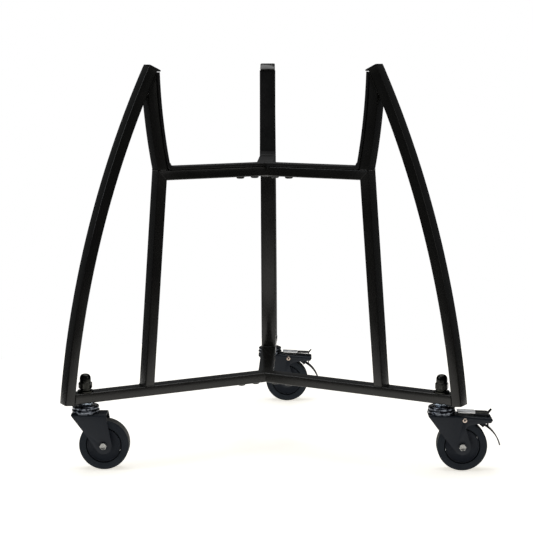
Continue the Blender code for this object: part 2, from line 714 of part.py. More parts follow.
def make_fork(side, swivel):
    """Pressed fork with the lower race on its top plate; a braked one has a housing behind."""
    name = side + "_fork"
    points = fork_side(side)
    fork = add_part(name, outline_mesh(name, points, FORK_HALF_WIDTH), swivel, CASTER_PAINT,
                    rotation=SIDE_VIEW)
    inside = [(-0.05, -0.02), (0.12, -0.02)]
    if side in BRAKED:
        end = HOUSING_END - FORK_PLATE
        start = LOWER_RACE_RADIUS
        slope = HOUSING_DROP / (HOUSING_END - start)
        under = FORK_TOP - HOUSING_STEP - FORK_PLATE
        inside = [(-0.05, -0.02), (end, -0.02), (end, under - slope * (end - start)),
                  (start, under), (start - HOUSING_STEP, FORK_TOP - FORK_PLATE)]
    else:
        inside.append((0.12, FORK_TOP - FORK_PLATE))
    inside.append((-0.05, FORK_TOP - FORK_PLATE))
    channel = outline_mesh(name + "_channel", inside, FORK_HALF_GAP)
    boolean(fork, add_cutter(name + "_channel", channel, swivel, rotation=SIDE_VIEW))
    boolean(fork, lower_race(name, swivel), 'UNION')
    kingpin = cylinder_mesh(name + "_kingpin_hole", KINGPIN_RADIUS + SHAFT_CLEARANCE,
                            FORK_TOP - 0.01, LOWER_RACE_TOP + 0.01, 12)
    boolean(fork, add_cutter(name + "_kingpin_hole", kingpin, swivel))
    cross_hole(fork, swivel, "axle", (trail(side), 0, WHEEL_RADIUS), AXLE_RADIUS)
    if side in BRAKED:
        cross_hole(fork, swivel, "pivot", (PIVOT_X, 0, PIVOT_HEIGHT), PIVOT_RADIUS)
        half = PEDAL_THICKNESS / 2 + SLOT_CLEARANCE
        across = RELEASE_WIDTH / 2 + SHAFT_CLEARANCE * 2
        slot = box_mesh(name + "_slot", (RELEASE_X - half, -across, PIVOT_HEIGHT - 0.01),
                        (RELEASE_X + half, across, FORK_TOP + 0.01))
        boolean(fork, add_cutter(name + "_slot", slot, swivel))


def lower_race(name, swivel):
    rim = LOWER_RACE_RADIUS
    profile = [(0.0, LOWER_RACE_TOP), (rim * 0.93, LOWER_RACE_TOP),
               (rim, LOWER_RACE_TOP - RACE_HEIGHT * 0.3),
               (rim, FORK_TOP + RACE_HEIGHT * 0.25), (rim * 0.96, FORK_TOP - FORK_PLATE / 2),
               (0.0, FORK_TOP - FORK_PLATE / 2)]
    return add_cutter(name + "_race", turned_mesh(name + "_race", profile, 24), swivel)


def cross_hole(obj, parent, tag, place, radius):
    name = obj.name + "_" + tag + "_hole"
    mesh = cylinder_mesh(name, radius + SHAFT_CLEARANCE, -0.05, 0.05, 12)
    boolean(obj, add_cutter(name, mesh, parent, location=place, rotation=SIDE_VIEW))


def make_wheel(side, axle):
    """Tyre and core, turned about the axle."""
    half = WHEEL_WIDTH / 2
    bore = CORE_RADIUS + GAP
    lip = bore + GROOVE_WIDTH
    shoulder = [(WHEEL_RADIUS - TYRE_SHOULDER * (1 - math.sin(turn)),
                 half - TYRE_SHOULDER * 0.6 * (1 - math.cos(turn)))
                for turn in (0.0, math.radians(90))]
    upper = [(bore, half - GROOVE_DEPTH), (lip, half - GROOVE_DEPTH), (lip, half)] + shoulder
    tyre = upper + [(r, -z) for r, z in reversed(upper)]
    name = side + "_tyre"
    add_part(name, turned_mesh(name, tyre, WHEEL_STEPS, closed=True), axle, CASTER_RUBBER,
             rotation=SIDE_VIEW)
    bore = AXLE_RADIUS + SHAFT_CLEARANCE
    boss = FORK_HALF_GAP - SHAFT_CLEARANCE * 2
    rim = CORE_WIDTH / 2
    band_inside = CORE_RADIUS - RIM_BAND
    web = WEB_WIDTH / 2
    upper = [(bore, boss), (BOSS_RADIUS * 0.8, boss), (BOSS_RADIUS, web),
             (band_inside, rim), (CORE_RADIUS, rim)]
    core = upper + [(r, -z) for r, z in reversed(upper)]
    name = side + "_wheel_core"
    add_part(name, turned_mesh(name, core, WHEEL_STEPS, closed=True), axle, CASTER_PLASTIC,
             rotation=SIDE_VIEW)


def make_axle(side, axle):
    """Hexagon bolt from the front and its nut at the back; Z is along the axle, backwards."""
    outside = FORK_HALF_WIDTH + GAP
    tip = -(outside + AXLE_NUT_HEIGHT + AXLE_TIP)
    name = side + "_axle_bolt"
    head = hexagon_mesh(name, AXLE_HEX_FLATS, outside, outside + AXLE_HEAD_HEIGHT)
    bolt = add_part(name, head, axle, BRIGHT_ZINC, rotation=SIDE_VIEW)
    shank = cylinder_mesh(name + "_shank", AXLE_RADIUS, tip, outside + AXLE_HEAD_HEIGHT / 2, 12)
    boolean(bolt, add_cutter(name + "_shank", shank, axle, rotation=SIDE_VIEW), 'UNION')
    name = side + "_axle_nut"
    blank = hexagon_mesh(name, AXLE_HEX_FLATS, -outside - AXLE_NUT_HEIGHT, -outside)
    nut = add_part(name, blank, axle, BRIGHT_ZINC, rotation=SIDE_VIEW)
    hole = cylinder_mesh(name + "_hole", AXLE_RADIUS + SHAFT_CLEARANCE, tip - 0.01, 0.0, 12)
    boolean(nut, add_cutter(name + "_hole", hole, axle, rotation=SIDE_VIEW))


# Brakes

def pedal_line():
    """Middle line of the pedal leaf, from the pivot round the wheel to the tip."""
    pivot = Vector((PIVOT_X, PIVOT_HEIGHT))
    tip = Vector((BRAKED_TRAIL + WHEEL_RADIUS + PEDAL_BEYOND_TYRE, WHEEL_RADIUS))
    over_wheel = pivot + Vector((0.77, -0.09)) * WHEEL_RADIUS
    behind_wheel = tip + Vector((-0.15, 0.61)) * WHEEL_RADIUS
    points = []
    for n in range(PEDAL_STEPS + 1):
        t = n / PEDAL_STEPS
        points.append(pivot * (1 - t) ** 3 + over_wheel * 3 * t * (1 - t) ** 2
                      + behind_wheel * 3 * t * t * (1 - t) + tip * t ** 3)
    return points


def beside(line, distance):
    """A line run alongside another, to the left of its way if the distance is positive."""
    points = []
    for n, point in enumerate(line):
        ahead = line[min(n + 1, len(line) - 1)] - line[max(n - 1, 0)]
        points.append(point + Vector((-ahead.y, ahead.x)).normalized() * distance)
    return points


def make_brake(side, swivel):
    hinge = new_empty(side + "_pedal_axis", swivel, location=(PIVOT_X, 0, PIVOT_HEIGHT))
    make_pedal(side, hinge)
    make_pivot(side, hinge)


def from_pivot(points):
    return [(x - PIVOT_X, z - PIVOT_HEIGHT) for x, z in points]


def make_pedal(side, hinge):
    """Leaf that hangs behind the wheel, with a release tab up through the housing's slot."""
    name = side + "_brake_pedal"
    line = pedal_line()
    half = PEDAL_THICKNESS / 2
    outline = beside(line, half) + beside(line, -half)[::-1]
    leaf = outline_mesh(name, from_pivot(outline), PEDAL_WIDTH / 2)
    pedal = add_part(name, leaf, hinge, BRIGHT_ZINC, rotation=SIDE_VIEW)
    eye = cylinder_mesh(name + "_eye", PIVOT_EYE_RADIUS, -PEDAL_WIDTH / 2, PEDAL_WIDTH / 2, 14)
    boolean(pedal, add_cutter(name + "_eye", eye, hinge, rotation=SIDE_VIEW), 'UNION')
    root_height = min((abs(point.x - RELEASE_X), point.y) for point in line)[1]
    pad = PIVOT_HEIGHT + RELEASE_PAD_RISE
    tip = PIVOT_HEIGHT + RELEASE_TIP_RISE
    end = RELEASE_X + RELEASE_TIP_FLARE
    upright = [(RELEASE_X - half, root_height), (RELEASE_X + half, root_height - half),
               (RELEASE_X + half, pad), (end + half, tip), (end - half, tip),
               (RELEASE_X - half, pad + half)]
    tab = outline_mesh(name + "_tab", from_pivot(upright), RELEASE_WIDTH / 2)
    boolean(pedal, add_cutter(name + "_tab", tab, hinge, rotation=SIDE_VIEW), 'UNION')
    front = (LOWER_RACE_RADIUS + RELEASE_PLATE_START, PIVOT_HEIGHT + RELEASE_PLATE_RISE)
    slope = (front[1] - pad) / (RELEASE_X - front[0])
    middle = (RELEASE_X - RELEASE_PAD_LENGTH, pad + slope * RELEASE_PAD_LENGTH)
    for tag, start, end, width in (("pad", middle, (RELEASE_X, pad), RELEASE_PAD_WIDTH),
                                   ("plate", front, middle, RELEASE_PLATE_WIDTH)):
        flat = [start, end, (end[0], end[1] + PEDAL_THICKNESS), (start[0], start[1] + PEDAL_THICKNESS)]
        plate = outline_mesh(name + "_" + tag, from_pivot(flat), width / 2)
        boolean(pedal, add_cutter(name + "_" + tag, plate, hinge, rotation=SIDE_VIEW), 'UNION')
    bore = cylinder_mesh(name + "_bore", PIVOT_RADIUS + SHAFT_CLEARANCE, -0.05, 0.05, 12)
    boolean(pedal, add_cutter(name + "_bore", bore, hinge, rotation=SIDE_VIEW))
    make_shoe(side, hinge, line)


def make_shoe(side, hinge, line):
    """Friction pad that fills the space under the leaf down to an arc round the tyre."""
    name = side + "_brake_shoe"
    axle = Vector((BRAKED_TRAIL, WHEEL_RADIUS))
    under = beside(line, -PEDAL_THICKNESS / 2 - GAP)[3:6]
    spokes = [point - axle for point in under]
    first = math.atan2(spokes[-1].y, spokes[-1].x)
    last = math.atan2(spokes[0].y, spokes[0].x)
    face = arc(axle, WHEEL_RADIUS + SHOE_TO_TYRE, first, last, 6)
    points = from_pivot([tuple(point) for point in under] + face)
    add_part(name, outline_mesh(name, points, SHOE_WIDTH / 2), hinge, RUBBER, rotation=SIDE_VIEW)


def make_pivot(side, hinge):
    """Rivet through the housing and the pedal's eye, with a dimple in each head."""
    name = side + "_brake_rivet"
    seat = FORK_HALF_WIDTH + GAP
    face = seat + PIVOT_HEAD_HEIGHT
    head = PIVOT_HEAD_RADIUS
    dimple = 0.0009
    upper = [(0.0, face - dimple), (dimple, face), (head * 0.8, face), (head, seat),
             (PIVOT_RADIUS, seat)]
    profile = upper + [(r, -z) for r, z in reversed(upper)]
    add_part(name, turned_mesh(name, profile, 14), hinge, BRIGHT_ZINC, rotation=SIDE_VIEW)


def centre_on_footprint(root):
    """Moves the stand so that the origin is the middle of its box, on the floor."""
    bpy.context.view_layer.update()
    graph = bpy.context.evaluated_depsgraph_get()
    corners = []
    for obj in PARTS.objects:
        if obj.type == 'MESH':
            solid = obj.evaluated_get(graph)
            corners += [solid.matrix_world @ vertex.co for vertex in solid.data.vertices]
    for axis in (0, 1):
        values = [corner[axis] for corner in corners]
        root.location[axis] = -(min(values) + max(values)) / 2
    root.location.z = -min(corner.z for corner in corners)


# Colour, roughness, metallic
BLACK_PAINT = ((0.030, 0.029, 0.026), 0.22, 0.0)
CASTER_PAINT = ((0.016, 0.019, 0.025), 0.45, 0.0)
CASTER_PLASTIC = ((0.018, 0.021, 0.027), 0.55, 0.0)
CASTER_RUBBER = ((0.017, 0.019, 0.023), 0.70, 0.0)
RUBBER = ((0.006, 0.006, 0.007), 0.60, 0.0)
BLACK_STEEL = ((0.030, 0.030, 0.030), 0.35, 1.0)
BARE_STEEL = ((0.45, 0.45, 0.44), 0.40, 1.0)
DARK_ZINC = ((0.10, 0.10, 0.09), 0.30, 1.0)
ZINC = ((0.18, 0.19, 0.21), 0.25, 1.0)
BRIGHT_ZINC = ((0.72, 0.73, 0.74), 0.25, 1.0)

clear_scene()
PARTS = new_collection("cradle_stand")
CUTTERS = new_collection("cutters")
STAND = new_empty("stand", None)
for panel_side in PANEL_ANGLES:
    make_panel(panel_side, STAND)
make_hub("lower", RAIL_UNDERSIDE, STAND)
make_hub("upper", CRADLE_UNDERSIDE, STAND)
for caster_side in PANEL_ANGLES:
    make_caster(caster_side, STAND)
centre_on_footprint(STAND)
bpy.context.view_layer.update()
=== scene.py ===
"""Looks of the three-legged cradle stand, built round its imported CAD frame.

Metres, in the frame of the CAD: +Z up, floor at Z = 0. Tube pieces are drawn in the plane of
their panel, as (distance from the hub's axis, height), and swept with their real section.
"""
import json
import math

import bmesh
import bpy
from mathutils import Matrix, Vector, noise


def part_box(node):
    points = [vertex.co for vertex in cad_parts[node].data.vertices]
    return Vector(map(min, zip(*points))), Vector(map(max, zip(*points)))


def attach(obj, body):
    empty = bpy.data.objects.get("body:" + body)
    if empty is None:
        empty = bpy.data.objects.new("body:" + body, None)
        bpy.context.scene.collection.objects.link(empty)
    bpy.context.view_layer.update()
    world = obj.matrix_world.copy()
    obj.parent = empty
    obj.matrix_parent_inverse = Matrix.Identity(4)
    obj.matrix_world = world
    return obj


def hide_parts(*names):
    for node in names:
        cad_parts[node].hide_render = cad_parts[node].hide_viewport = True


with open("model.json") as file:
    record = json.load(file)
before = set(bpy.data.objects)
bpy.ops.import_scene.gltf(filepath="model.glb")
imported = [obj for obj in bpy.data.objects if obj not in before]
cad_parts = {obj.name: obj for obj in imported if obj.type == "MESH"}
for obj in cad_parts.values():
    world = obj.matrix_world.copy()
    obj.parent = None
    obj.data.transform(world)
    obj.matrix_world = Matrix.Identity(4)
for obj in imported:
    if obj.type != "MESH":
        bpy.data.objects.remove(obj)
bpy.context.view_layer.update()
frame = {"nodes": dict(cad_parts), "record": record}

# ---- sizes
MM = 0.001
GAP = 0.3 * MM
SIDES = {"rear": 90.0, "left": 210.0, "right": 330.0}
BRAKED = ("rear", "right")
TUBE_W = 25 * MM
TUBE_D = 16 * MM
WALL = 1.5 * MM
CORNER = 2.0 * MM
LEG_BOW = 24 * MM
ARM_BOW = 3.5 * MM
LINER_T = 5 * MM
LINER_W = 27 * MM
CAP_T = 2.5 * MM
LEG_TOP_R = 207.8 * MM
LEG_TOP_Z = 620.4 * MM
UPRIGHT_BASE_R = 222 * MM
UPRIGHT_TOP_R = 196 * MM
ARM_TOP_R = LEG_TOP_R + 4.0 * MM
STEM_R = 318 * MM
WHEEL_R = 38.6 * MM
WHEEL_W = 26 * MM

JOINTS = {j["name"]: Vector(j["pos_m"]) for j in frame["record"]["behaviour"]["joints"]}
SWIVEL = {s: JOINTS[s + "_swivel_turn"] for s in SIDES}
HUB = Vector((SWIVEL["rear"].x, SWIVEL["rear"].y - STEM_R, 0.0))
RAIL_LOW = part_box("rear_lower_rail")[0].z
RAIL_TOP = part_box("rear_lower_rail")[1].z
CRADLE_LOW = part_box("rear_upper_rail")[0].z
CRADLE_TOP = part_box("rear_upper_rail")[1].z
FOOT_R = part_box("rear_leg")[1].y - HUB.y
TRAIL = {s: JOINTS[s + "_wheel_spin"].x - SWIVEL[s].x for s in SIDES}
PIVOT = Vector((JOINTS["rear_pedal_press"].x - SWIVEL["rear"].x, JOINTS["rear_pedal_press"].z))
FORK_TOP = 88.1 * MM
RACE_H = 6.0 * MM
COLLAR_H = 3.3 * MM
HOUSING_END = TRAIL["rear"] + WHEEL_R + 7.2 * MM
HOUSING_START = FORK_TOP - 0.5 * MM
HOUSING_LOW = HOUSING_START - 4.5 * MM
RELEASE_X = TRAIL["rear"] + WHEEL_R + 1.5 * MM
FORK_PLATE = 2.2 * MM
FORK_HALF = WHEEL_W / 2 + 2 * MM + FORK_PLATE
UPPER_RACE_R = 20.8 * MM
LOWER_RACE_R = 21.5 * MM
COLLAR_FLATS = 20 * MM
STUD_R = 6 * MM
PITCH = 1.75 * MM
WASHER_T = 2.5 * MM
WASHER_R = 12.45 * MM
NUT_BORE_R = 6.3 * MM
NUT_FLATS = 19 * MM
NUT_HEX_H = 12.5 * MM
NUT_H = 25.4 * MM
NUT_DOME_R = 8.8 * MM
AXLE_R = 3 * MM
AXLE_FLATS = 10 * MM
HUB_BOLT_R = 45 * MM
INNER_BOLT_R = 19 * MM
MITRE = GAP / 2 * math.sqrt(2)
FAR = 0.05  # reach of the tools that cut right through a piece


# ---- helpers
class Place:
    """Turns panel coordinates (r, n, z) into the frame's."""

    def __init__(self, degrees):
        a = math.radians(degrees)
        self.u = Vector((math.cos(a), math.sin(a), 0.0))
        self.v = Vector((-math.sin(a), math.cos(a), 0.0))

    def __call__(self, r, n, z):
        return HUB + self.u * r + self.v * n + Vector((0.0, 0.0, z))


PLACES = {s: Place(a) for s, a in SIDES.items()}


def linked(name, data):
    """A new object of the scene."""
    obj = bpy.data.objects.new(name, data)
    bpy.context.scene.collection.objects.link(obj)
    return obj


def object_of(name, bm):
    """Turns a bmesh into an object of the scene."""
    mesh = bpy.data.meshes.new(name)
    bm.to_mesh(mesh)
    bm.free()
    return linked(name, mesh)


def finish_mesh(name, bm, material, body, slot, replaces=(), sharp=40.0):
    """Makes a piece of a bmesh, smooth with sharp edges over an angle, riding on a body."""
    bmesh.ops.remove_doubles(bm, verts=bm.verts, dist=1e-6)
    bmesh.ops.recalc_face_normals(bm, faces=bm.faces)
    obj = object_of(name, bm)
    obj.data.shade_smooth()
    obj.data.set_sharp_from_angle(angle=math.radians(sharp))
    obj.data.materials.append(material)
    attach(obj, body)
    if replaces:
        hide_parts(*replaces)
    return obj


def loft(bm, rings, cap=True, closed=False):
    """Joins rings of equal numbers of points with quads."""
    rows = [[bm.verts.new(p) for p in ring] for ring in rings]
    count = len(rows[0])
    pairs = list(zip(rows, rows[1:]))
    if closed:
        pairs.append((rows[-1], rows[0]))
    for a, b in pairs:
        for i in range(count):
            j = (i + 1) % count
            bm.faces.new((a[i], a[j], b[j], b[i]))
    if cap and not closed:
        bm.faces.new(rows[0][::-1])
        bm.faces.new(rows[-1])
    return rows


def rounded_section(width, depth, radius, segments=4, middle=True):
    """Points (n, s) round a rounded rectangle, n across and s in depth from 0 to depth."""
    radius = min(radius, depth / 2 * 0.98, width / 2 * 0.98)
    points = []
    corners = ((width / 2 - radius, radius, -90), (width / 2 - radius, depth - radius, 0),
               (-width / 2 + radius, depth - radius, 90), (-width / 2 + radius, radius, 180))
    for k, (cn, cs, start) in enumerate(corners):
        for i in range(segments + 1):
            a = math.radians(start + 90 * i / segments)
            points.append((cn + radius * math.cos(a), cs + radius * math.sin(a)))
        if middle and k in (1, 3):
            points.append((0.0, depth if k == 1 else 0.0))
    return points


def parts(count):
    """The fractions from 0 to 1 in equal steps."""
    return [k / count for k in range(count + 1)]


def circle_of(start, end, bulge):
    """Circle through two points that bulges to the right of the way from start to end."""
    start, end = Vector(start), Vector(end)
    chord = end - start
    length = chord.length
    right = Vector((chord.y, -chord.x)) / length
    radius = (length * length / 4 + bulge * bulge) / (2 * bulge)
    centre = (start + end) / 2 + right * (bulge - radius)
    first = math.atan2(start.y - centre.y, start.x - centre.x)
    last = math.atan2(end.y - centre.y, end.x - centre.x)
    return centre, radius, first, last


def on_circle(circle, t, depth):
    centre, radius, first, last = circle
    a = first + (last - first) * t
    return centre + Vector((math.cos(a), math.sin(a))) * (radius - depth)


LEG = circle_of((FOOT_R, RAIL_LOW), (LEG_TOP_R, LEG_TOP_Z), LEG_BOW)
UPRIGHT_LEAN = (UPRIGHT_BASE_R - UPRIGHT_TOP_R) / (CRADLE_LOW - RAIL_TOP)


def upright_face(z, depth=0.0):
    return UPRIGHT_BASE_R - UPRIGHT_LEAN * (z - RAIL_TOP) - depth * math.hypot(1.0, UPRIGHT_LEAN)


ARM = circle_of((upright_face(CRADLE_TOP + GAP), CRADLE_TOP + GAP), (ARM_TOP_R, LEG_TOP_Z),
                ARM_BOW)


def ring_at(origin, r, h, steps, axis='Z'):
    """Points round an axis at a height; the radius is a number or a function of the angle."""
    points = []
    for k in range(steps):
        a = math.tau * k / steps
        radius = r(a) if callable(r) else r
        x, y = radius * math.cos(a), radius * math.sin(a)
        points.append(origin + Vector((x, y, h) if axis == 'Z' else (x, h, y)))
    return points


def mirrored(upper):
    """A profile of (radius, height) followed by its mirror image below."""
    return upper + [(r, -h) for r, h in reversed(upper)]


def sweep(name, node, side, stations, width, radius, material, slot, hollow=False, shape=None):
    """Sweeps a rounded section along stations of (outer point, inner point) in the panel."""
    place = PLACES[side]
    bm = bmesh.new()

    def rings(w, inset, rad):
        out = []
        for k, (outer, inner) in enumerate(stations):
            real = (inner - outer).length
            direction = (inner - outer) / real
            ring = []
            for n, s in rounded_section(w, real - 2 * inset, rad):
                p = outer + direction * (s + inset)
                r, z = shape(k, n, p.x, p.y) if shape else p
                ring.append(place(r, n, z))
            out.append(ring)
        return out

    a = loft(bm, rings(width, 0.0, radius), cap=not hollow)
    if hollow:
        b = loft(bm, rings(width - 2 * WALL, WALL, max(radius - WALL, 0.6 * MM)), cap=False)
        for k in (0, -1):
            count = len(a[k])
            for i in range(count):
                j = (i + 1) % count
                bm.faces.new((a[k][i], a[k][j], b[k][j], b[k][i]))
    return finish_mesh(name, bm, material, body="frame", slot=slot, replaces=(node,))


def tube(side, part, stations, hollow=True, shape=None):
    """A painted tube of a panel."""
    sweep(f"{side}_{part}_tube", f"{side}_{part}", side, stations, TUBE_W, CORNER, COAT,
          "black_paint", hollow, shape)


# ---- materials
def fill(node, values):
    """Sets a node's input values by name."""
    for key, value in values.items():
        node.inputs[key].default_value = value


def material_base(name, color, rough, metal=0.0, specular=0.5):
    mat = bpy.data.materials.new(name)
    mat.use_nodes = True
    shader = mat.node_tree.nodes["Principled BSDF"]
    fill(shader, {"Base Color": (*color, 1.0), "Roughness": rough, "Metallic": metal,
                  "Specular IOR Level": specular})
    return mat, mat.node_tree, shader


def coords(tree, scale=(1, 1, 1)):
    tex = tree.nodes.new("ShaderNodeTexCoord")
    mapping = tree.nodes.new("ShaderNodeMapping")
    fill(mapping, {"Scale": scale})
    tree.links.new(tex.outputs["Object"], mapping.inputs["Vector"])
    return mapping.outputs["Vector"]


def noise_node(tree, vector, scale, detail, rough):
    node = tree.nodes.new("ShaderNodeTexNoise")
    fill(node, {"Scale": scale, "Detail": detail, "Roughness": rough})
    tree.links.new(vector, node.inputs["Vector"])
    return node.outputs["Fac"]


def ramp(tree, fac, low, high, a, b):
    """Maps a factor from low..high to a..b, numbers or colours."""
    if isinstance(a, (int, float)):
        node = tree.nodes.new("ShaderNodeMapRange")
        fill(node, {"From Min": low, "From Max": high, "To Min": a, "To Max": b})
        tree.links.new(fac, node.inputs["Value"])
        return node.outputs["Result"]
    node = tree.nodes.new("ShaderNodeValToRGB")
    for element, position, color in zip(node.color_ramp.elements, (low, high), (a, b)):
        element.position = position
        element.color = (*color, 1.0)
    tree.links.new(fac, node.inputs["Fac"])
    return node.outputs["Color"]


def bump(tree, shader, heights):
    """Chains bumps of (height output, distance in metres, strength)."""
    normal = None
    for height, distance, strength in heights:
        node = tree.nodes.new("ShaderNodeBump")
        fill(node, {"Distance": distance, "Strength": strength})
        tree.links.new(height, node.inputs["Height"])
        if normal is not None:
            tree.links.new(normal, node.inputs["Normal"])
        normal = node.outputs["Normal"]
    tree.links.new(normal, shader.inputs["Normal"])


def powder_coat():
    """Gloss black powder coat: orange peel, faint dust, and a painted highlight that makes the
    sharp edges a little lighter.
    """
    mat, tree, shader = material_base("powder_coat", (0.006, 0.0057, 0.005), 0.2, specular=0.4)
    vector = coords(tree)
    peel = noise_node(tree, vector, 420.0, 2.0, 0.55)
    swell = noise_node(tree, vector, 95.0, 1.0, 0.4)
    cloud = noise_node(tree, vector, 14.0, 4.0, 0.6)
    specks = noise_node(tree, vector, 900.0, 0.0, 0.5)
    color = ramp(tree, cloud, 0.35, 0.7, (0.0052, 0.0049, 0.0042), (0.0072, 0.0068, 0.0059))
    # painted highlight: where pointiness is high, along sharp edges, the colour is mixed towards a
    # lighter grey
    geometry = tree.nodes.new("ShaderNodeNewGeometry")
    edge = ramp(tree, geometry.outputs["Pointiness"], 0.52, 0.60, 0.0, 1.0)
    mix = tree.nodes.new("ShaderNodeMix")
    mix.data_type = 'RGBA'
    mix.inputs["B"].default_value = (0.018, 0.0175, 0.016, 1.0)
    tree.links.new(edge, mix.inputs["Factor"])
    tree.links.new(color, mix.inputs["A"])
    tree.links.new(mix.outputs["Result"], shader.inputs["Base Color"])
    tree.links.new(ramp(tree, cloud, 0.3, 0.75, 0.17, 0.27), shader.inputs["Roughness"])
    bump(tree, shader, [(swell, 0.0002, 0.08), (peel, 0.00005, 0.25), (specks, 0.00003, 0.1)])
    return mat


def coated(name, color, rough, specular, cloud, grain, tones, gloss, relief, gloss_of_grain=False):
    """A coat with the tone and gloss of a cloud noise, or of its grain, and the grain's relief.

    Noises are (scale, detail, roughness), tones and gloss end a ramp's arguments.
    """
    mat, tree, shader = material_base(name, color, rough, specular=specular)
    vector = coords(tree)
    fine = noise_node(tree, vector, *grain)
    coarse = noise_node(tree, vector, *cloud) if cloud else fine
    tree.links.new(ramp(tree, coarse, *tones), shader.inputs["Base Color"])
    if gloss:
        tree.links.new(ramp(tree, fine if gloss_of_grain else coarse, *gloss),
                       shader.inputs["Roughness"])
    bump(tree, shader, [(fine, *relief)])
    return mat


def plated(name, dark, light, rough, bump_strength=0.25, scale=160.0):
    """Zinc plate: cloudy tone, fine drawn grain."""
    mat, tree, shader = material_base(name, dark, rough, metal=1.0)
    vector = coords(tree)
    cloud = noise_node(tree, vector, scale, 3.0, 0.6)
    stretched = coords(tree, (1.0, 1.0, 14.0))
    grain = noise_node(tree, stretched, 700.0, 2.0, 0.6)
    tree.links.new(ramp(tree, cloud, 0.3, 0.72, dark, light), shader.inputs["Base Color"])
    tree.links.new(ramp(tree, cloud, 0.3, 0.7, rough * 0.8, rough * 1.3),
                   shader.inputs["Roughness"])
    bump(tree, shader, [(grain, 0.00004, bump_strength)])
    return mat


def race_plate():
    """Dark, glossy pressed steel whose dents break the reflections up, with patches of its colour
    painted much brighter as broken highlights.
    """
    mat, tree, shader = material_base("race_plate", (0.05, 0.056, 0.07), 0.12, metal=1.0)
    vector = coords(tree)
    glint_patch = noise_node(tree, vector, 230.0, 1.0, 0.5)
    dent = noise_node(tree, coords(tree, (1.0, 1.0, 0.5)), 210.0, 1.0, 0.4)
    # painted highlight: noise patches of far brighter colour stand in for broken glints on the
    # races
    tree.links.new(ramp(tree, glint_patch, 0.42, 0.60, (0.020, 0.023, 0.030), (0.17, 0.185, 0.215)),
                   shader.inputs["Base Color"])
    bump(tree, shader, [(dent, 0.0012, 0.7)])
    return mat


COAT = powder_coat()
# the same coat, a little rougher over a weld bead
WELD = coated("weld_coat", (0.009, 0.0086, 0.0078), 0.36, 0.35, None, (650.0, 3.0, 0.6),
              (0.35, 0.7, (0.006, 0.0057, 0.005), (0.013, 0.0125, 0.0115)),
              (0.3, 0.7, 0.26, 0.42), (0.0001, 0.5))
# black sheet rubber: fine moulded grain and a trace of dust
LINER = coated("liner_rubber", (0.0035, 0.0035, 0.0038), 0.62, 0.3, (35.0, 5.0, 0.65),
               (1500.0, 2.0, 0.7),
               (0.42, 0.75, (0.0030, 0.0030, 0.0033), (0.0075, 0.0074, 0.0072)),
               (0.4, 0.7, 0.55, 0.75), (0.00008, 0.45))
# satin charcoal paint with a slight blue cast and fine texture
PAINT = coated("caster_paint", (0.014, 0.018, 0.025), 0.42, 0.25, (60.0, 4.0, 0.6),
               (1100.0, 2.0, 0.6), (0.35, 0.7, (0.0080, 0.0113, 0.0178), (0.0113, 0.0152, 0.0226)),
               (0.3, 0.7, 0.38, 0.5), (0.00005, 0.35))
# moulded charcoal plastic, finely sparked
PLASTIC = coated("caster_plastic", (0.014, 0.017, 0.025), 0.5, 0.2, (45.0, 3.0, 0.6),
                 (1400.0, 3.0, 0.7),
                 (0.35, 0.7, (0.0128, 0.0165, 0.0240), (0.0172, 0.0212, 0.0292)),
                 (0.3, 0.7, 0.45, 0.58), (0.00005, 0.4), gloss_of_grain=True)
# charcoal rubber
TREAD = coated("caster_rubber", (0.018, 0.021, 0.026), 0.65, 0.08, (70.0, 4.0, 0.6),
               (900.0, 3.0, 0.65),
               (0.35, 0.72, (0.0180, 0.0224, 0.0290), (0.0256, 0.0306, 0.0376)),
               (0.3, 0.7, 0.55, 0.72), (0.00008, 0.5))
# the same rubber in a paler, duller band round its running surface; the paleness is a painted
# highlight for light caught along the tread
TREAD_HIGHLIGHT_PAINT = coated("painted_tread_highlight", (0.07, 0.07, 0.068), 0.75, 0.15, (120.0, 5.0, 0.7),
                    (900.0, 3.0, 0.65), (0.35, 0.7, (0.050, 0.051, 0.051), (0.120, 0.119, 0.114)),
                    None, (0.00008, 0.4))
BLUE_ZINC = plated("blue_zinc", (0.28, 0.34, 0.42), (0.46, 0.52, 0.60), 0.2)
DARK_PLATE = plated("dark_plate", (0.020, 0.020, 0.018), (0.048, 0.048, 0.043), 0.2)
RACE_PLATE = race_plate()
BRIGHT = plated("bright_plate", (0.20, 0.20, 0.195), (0.46, 0.46, 0.445), 0.25, scale=420.0)
PLATE_METAL = plated("satin_plate", (0.82, 0.83, 0.84), (0.92, 0.92, 0.92), 0.5)
LEAF_METAL = plated("leaf_plate", (0.016, 0.017, 0.020), (0.038, 0.040, 0.045), 0.28)
RIVET_METAL = plated("rivet_metal", (0.58, 0.46, 0.38), (0.78, 0.66, 0.58), 0.26)
BARE = plated("bare_steel", (0.36, 0.36, 0.35), (0.50, 0.50, 0.49), 0.38)
BLACK_OXIDE = plated("black_oxide", (0.020, 0.020, 0.020), (0.045, 0.045, 0.045), 0.34)


# ---- frame tubes
def hub_point(n, clearance=GAP):
    """Radius of a rail's hub end, cut to a point so that three rails meet."""
    return clearance / 2 / math.sin(math.radians(60)) + abs(n) / math.tan(math.radians(60))


def hub_cut(k, n, r, z):
    """Moves station k of a rail, or of the liner on it, clear of the hub's cut."""
    if k == 0:
        return hub_point(n), z
    return max(r, hub_point(n) + 2 * MM * k), z


def rail(side, name, low, high, end):
    """A level rail, from the hub to an end that may lean."""
    low_end, high_end = end
    tube(side, name, [(Vector((high_end * t, high)), Vector((low_end * t, low)))
                      for t in parts(8)], shape=hub_cut)


def lower_rail_end(z):
    centre, radius, _, _ = LEG
    return centre.x + math.sqrt((radius - TUBE_D) ** 2 - (z - centre.y) ** 2) - GAP


